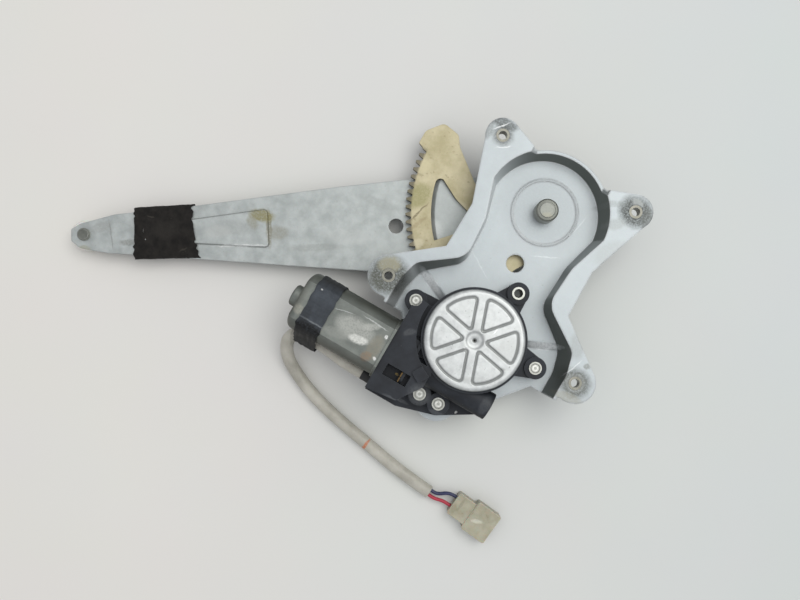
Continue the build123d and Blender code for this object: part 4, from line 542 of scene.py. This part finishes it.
SCREWS = ((-40.5, -108), (40.4, -107.5), (1.4, -154.3), (-11.1, -154.7))
screw_marks = []
for x, y in SCREWS:
    screw_marks += [(x, y, 3.1, 3.1, 0, "#3E403C", 1.0), (x, y, 2.3, 2.3, 0, "#D9DBD6", 1.0),
                    (x, y, 1.0, 1.0, 0, "#8E9089", 0.9)]
# zinc-plated steel of the screws and their sleeves: bright faces in a dark ring of old grease
dress(finish("zinc_screw_steel", ("#AEB0A8", "#C4C6C0"), 4, 0.4, (0.3, 0.42), metal=0.6, relief=0.008,
             wall="#5C5E57", edge_tone="#E6E8E4", marks=screw_marks, ragged=0.2),
      "screw_sleeves", "mounting_screws", "case_stud")


# ---------------------------------------------------------------- gear cover
# A pressed disc of bright zinc-plated steel: six raised panels between spokes, a turned-down rim and
# a centre dimple. The plating is speckled and worn on its right side and lower rim.
GEAR_MIDDLE = (0, -111.7)  # millimetres, as all the sizes here
COVER_R = 29.0
COVER_TOP = 12.0
COVER_EDGE = 2.2
COVER_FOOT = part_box("gear_cover")[0].z * 1000
PANELS = 6
FIRST_PANEL = math.radians(19)
PANEL_SPOKE = 2.9  # from a spoke's middle to the groove beside it
PANEL_REACH = 24.6  # from the middle to the outer arc
PANEL_CORNER = 2.4
GROOVE_DEEP = 0.55
DIMPLE_R = 4.6
DIMPLE_DEEP = 0.7

cover_marks = [
    (*GEAR_MIDDLE, 3.0, 3.0, 0, "#8E9294", 0.6), (19, -107, 9, 6, 60, "#B2B5B4", 0.55),
    (12, -131, 10, 2.4, 25, "#A9ACAB", 0.5), (-14, -133, 6, 2, -25, "#B4B7B6", 0.4),
    (-2, -118, 1.5, 0.5, 20, "#FFFFFF", 0.9), (22, -118, 2, 1, 40, "#8F9190", 0.5),
    (8, -100, 4, 0.4, 70, "#F7FAFB", 0.6),
]
# bright zinc plate: clean and shiny on its panels, specked where it has worn, and darkened as painted shade in the
# grooves, round the dimple's rim and over the centre hole
bright_plate = finish("bright_zinc_cover", ("#B3B7B7", "#CDD1D1"), 6, 0.55, (0.28, 0.46), metal=0.5, relief=0.012,
                      wall="#8B8F90", edge_tone="#F7FAFA", specks=(1.7, 0.03, "#777A79", 0.75), marks=cover_marks)
tree = bright_plate.node_tree
# the groove attribute carries painted shade: dark in the grooves, round the dimple's rim and over the centre hole
painted_shade_share = add(tree, "ShaderNodeAttribute", attribute_name="groove").outputs["Fac"]
base = tree.nodes["Principled BSDF"].inputs["Base Color"]
tree.links.new(mixed(tree, painted_shade_share, base.links[0].from_socket, linear("#666967")), base)


def cover_disc():
    """u turns round the disc and v runs from its centre out over the rim and down. Each panel is a wedge between two
    spokes and an outer arc, and the groove sinks by a bell of the distance to the wedge's rounded outline. The
    centre sinks in a smooth dimple. Returns the points and how much painted shade each has in its groove, round the
    dimple's rim and over the centre hole."""
    u = np.linspace(0, 2 * np.pi, 480, endpoint=False)[:, None]
    flat = COVER_R - COVER_EDGE
    bend = np.linspace(0.1, np.pi / 2, 8)
    rings = np.concatenate([np.linspace(0.6, flat, 84), flat + COVER_EDGE * np.sin(bend),
                            np.full(3, COVER_R)])[None, :]
    drop = np.concatenate([np.zeros(84), COVER_EDGE * (1 - np.cos(bend)),
                           np.linspace(COVER_EDGE + 0.3, COVER_TOP - COVER_FOOT, 3)])[None, :]
    half = np.pi / PANELS
    off = np.mod(u - FIRST_PANEL + half, 2 * half) - half
    sides = np.stack([PANEL_SPOKE + PANEL_CORNER - rings * np.sin(half - off),
                      PANEL_SPOKE + PANEL_CORNER - rings * np.sin(half + off),
                      rings - PANEL_REACH + PANEL_CORNER + 0 * off])
    away = np.sqrt((np.maximum(sides, 0) ** 2).sum(0)) + np.minimum(sides.max(0), 0) - PANEL_CORNER
    groove = np.exp(-(away / 0.72) ** 4)
    dimple = 0.5 * (1 - np.tanh((rings - DIMPLE_R) / 0.8)) + 0 * u
    height = COVER_TOP - drop - GROOVE_DEEP * groove - DIMPLE_DEEP * dimple - 0.35 * np.exp(-(rings / 1.6) ** 2)
    points = np.stack([rings * np.cos(u), GEAR_MIDDLE[1] + rings * np.sin(u), height], -1) / 1000
    # painted shade: a ring round the dimple's rim, the grooves and the centre hole
    dimple_rim_shade = 0.35 * np.exp(-((rings - DIMPLE_R - 0.3) / 0.7) ** 2)
    return points, np.clip(groove * 0.8 + dimple_rim_shade + 0.9 * (rings < 1.5), 0, 1)


points, painted_shade = cover_disc()
cover = spread_mesh("cover_disc", points, bright_plate, closed_u=True)
cover.data.attributes.new("groove", "FLOAT", "POINT").data.foreach_set("value", painted_shade.ravel().astype(np.float32))
cover.data.flip_normals()
thicken(cover, 0.0011)
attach(cover, "base")
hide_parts("gear_cover")


# ---------------------------------------------------------------- motor
# A drawn steel can with two flats, grey passivated, scuffed pale along the middle of its top flat and
# rust-brown by the housing. Inside are the magnets, the wound armature and the brush gear.
yoke_marks = [
    (-44.3, -134.9, 1.1, 1.0, 0, "#E6E8E6", 0.9), (-44.2, -148.6, 1.1, 1.0, 0, "#E6E8E6", 0.9),
    (-62, -140, 12, 7, 0, "#B0B2AD", 0.68), (-57, -144, 6, 2.5, 10, "#D0D2CD", 0.9),
    (-70, -147, 8, 3, 10, "#8F928D", 0.6), (-54, -134, 5, 2, 30, "#B4B6B1", 0.6),
    (-47, -143, 4, 8, 0, "#8B8370", 0.4), (-49, -150, 3.4, 3, 30, "#86715A", 0.6),
    (-97, -139, 3, 9, 0, "#7C7E76", 0.5), (-95, -146, 3, 3, 0, "#A5A498", 0.5),
    (-53, -131, 8, 0.4, -4, "#D3D6D5", 0.5), (-72, -134, 6, 0.3, 12, "#D3D6D5", 0.45),
]
# drawn can under a grey passivate: satin, scuffed pale on its flat, its steep sides darkened as painted shade
dress(finish("grey_passivated_can", ("#666B67", "#7D827D"), 12, 0.6, (0.36, 0.5), metal=0.45, relief=0.012,
             wall="#3F4139", edge_tone="#A9ACA7", specks=(1.6, 0.02, "#5D5F57", 0.6), marks=yoke_marks), "motor_yoke")
# magnets: dull black ceramic
dress(finish("sintered_ferrite", ("#2A2B2D", "#37383A"), 5, 0.4, (0.6, 0.75), relief=0.01), "field_magnets")
# armature core: stacked laminations of grey steel
dress(finish("stamped_laminations", ("#6A6C6E", "#7C7E80"), 5, 0.4, (0.4, 0.55), metal=0.8, relief=0.01),
      "armature_core")
# windings and commutator: copper, glossy with enamel
dress(finish("enamelled_copper", ("#9A5230", "#B0643C"), 2, 0.35, (0.3, 0.4), metal=0.8, relief=0.02),
      "armature_windings", "commutator")
# brushes: pressed carbon
dress(finish("hard_carbon", ("#242426", "#313133"), 3, 0.3, (0.5, 0.6), relief=0.01), "brushes")
# springs, button and drive plate: smooth hardened steel
dress(finish("spring_steel", ("#8C8F90", "#A0A3A4"), 4, 0.4, (0.3, 0.4), metal=0.9, relief=0.005),
      "brush_springs", "thrust_button", "drive_plate")


# ---------------------------------------------------------------- cloth tape
# Woven cotton tape with a rubber backing, wound twice round the motor and the lead to hold them
# together. It is drawn flat over the can, wrinkled where it turns down and folded along one line.
MOTOR_AT = np.array((-140.5, -2.0))  # the can's middle, Y and Z in millimetres
CAN_R = 18.4
CAN_FLAT = 14.2
LEAD_PLACES = np.array(((-158.8, -15.3), (-160.3, -16.4)))  # the lead's middle at both edges of the tape
LEAD_OUT = 4.6  # from there to the cloth
TAPE_X = (-92.5, -78.0)
TAPE_LIFT = (0.12, 0.7)  # the least and the most that the cloth stands off
FOLD_Y = -148.5
THREAD_SCALE = 1000 / 0.9 / 20 * 3.1  # of the wave texture, for threads nearly 1 mm apart


def tape_outline(count):
    """The hull of the flattened can and the lead's two places: the furthest point of each in every direction, of
    which the outermost counts. Returns count points spaced evenly along it, their outward directions and their
    distances along it."""
    turn = np.linspace(0, 2 * np.pi, 4001)[:-1]
    out = np.stack([np.cos(turn), np.sin(turn)], -1)
    side = math.sqrt(CAN_R ** 2 - CAN_FLAT ** 2)
    round_part = MOTOR_AT + CAN_R * out
    corner = MOTOR_AT + np.stack([np.sign(out[:, 0]) * side, np.sign(out[:, 1]) * CAN_FLAT], -1)
    can = np.where((np.abs(CAN_R * out[:, 1]) > CAN_FLAT)[:, None], corner, round_part)
    places = np.stack([can, *(at + LEAD_OUT * out for at in LEAD_PLACES)])
    best = (places * out).sum(-1).argmax(0)
    line = places[best, np.arange(len(turn))]
    line = np.concatenate([line, line[:1]])
    steps = np.concatenate([[0], np.cumsum(np.hypot(*np.diff(line, axis=0).T))])
    at = np.linspace(0, steps[-1], count, endpoint=False)
    even = np.stack([np.interp(at, steps, line[:, 0]), np.interp(at, steps, line[:, 1])], -1)
    ahead = np.roll(even, -1, 0) - np.roll(even, 1, 0)
    outward = np.stack([ahead[:, 1], -ahead[:, 0]], -1) / np.hypot(*ahead.T)[:, None]
    return even, outward, at


def tape_wrap():
    """u runs round the outline and v along the motor. The cloth stands about 0.4 mm off the outline, with wrinkles
    that grow where it turns down from the flats, and a fold stands up along one line of its upper side."""
    even, outward, at = tape_outline(520)
    v = np.linspace(0, 1, 70)
    along = TAPE_X[0] + (TAPE_X[1] - TAPE_X[0]) * v[None, :] + 0 * at[:, None]
    ragged = 0.25 * waves(at, at * 0, 21, 5.0)[:, None]
    along = along + ragged * (2 * v[None, :] - 1)
    slack = np.clip(np.abs(outward[:, :1]) * 1.6, 0.12, 1.0)
    lift = 0.42 + 0.13 * waves(along * 2.2, at[:, None] * 0.35, 22, 5.0) * slack
    upper = (outward[:, 1] > 0.3)[:, None]
    lift = lift + 0.22 * np.exp(-((even[:, None, 0] - FOLD_Y) / 0.45) ** 2) * upper
    place = even[:, None, :] + outward[:, None, :] * np.clip(lift, *TAPE_LIFT)[..., None]
    return np.stack([along, place[..., 0], place[..., 1]], -1) / 1000


# cotton cloth tape: matt black, the weave showing as fine ribs, its bluish grey tone a painted sheen where it lies
# flat to the light
cloth = finish("black_cloth_tape", ("#353A40", "#464C53"), 8, 0.5, (0.5, 0.65), relief=0.02, round_off=0.1,
               # the black wall tone on its steep sides and the black band on its lower side are painted shade, and
               # the thin pale line along the fold a painted highlight
               wall="#141415", ragged=0.6, specks=(1.3, -0.03, "#5D6063", 0.6),
               marks=[(-85.2, -155.8, 15, 7.2, 0, "#090A0B", 1.0), (-85.2, -148.6, 10, 0.5, 0, "#777C80", 0.8),
                      (-88.9, -129.8, 0.7, 0.5, 0, "#B9BBBA", 0.9), (-90, -146, 3, 6, 0, "#222427", 0.5)],
               Specular_IOR_Level=0.25)
tree = cloth.node_tree
place = add(tree, "ShaderNodeTexCoord").outputs["Object"]
threads = [add(tree, "ShaderNodeTexWave", {"Vector": place, "Scale": THREAD_SCALE, "Distortion": 0.6},
               bands_direction=way).outputs["Fac"] for way in "YX"]
weave = add(tree, "ShaderNodeMath", {0: threads[0], 1: threads[1]}, operation="ADD").outputs[0]
normal = tree.nodes["Principled BSDF"].inputs["Normal"]
ribs = add(tree, "ShaderNodeBump", {"Height": weave, "Distance": 0.00002, "Normal": normal.links[0].from_socket})
tree.links.new(ribs.outputs["Normal"], normal)
tape = spread_mesh("tape_wrap", tape_wrap(), cloth, closed_u=True)
thicken(tape, 0.0001)
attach(tape, "base")
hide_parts("motor_tape")
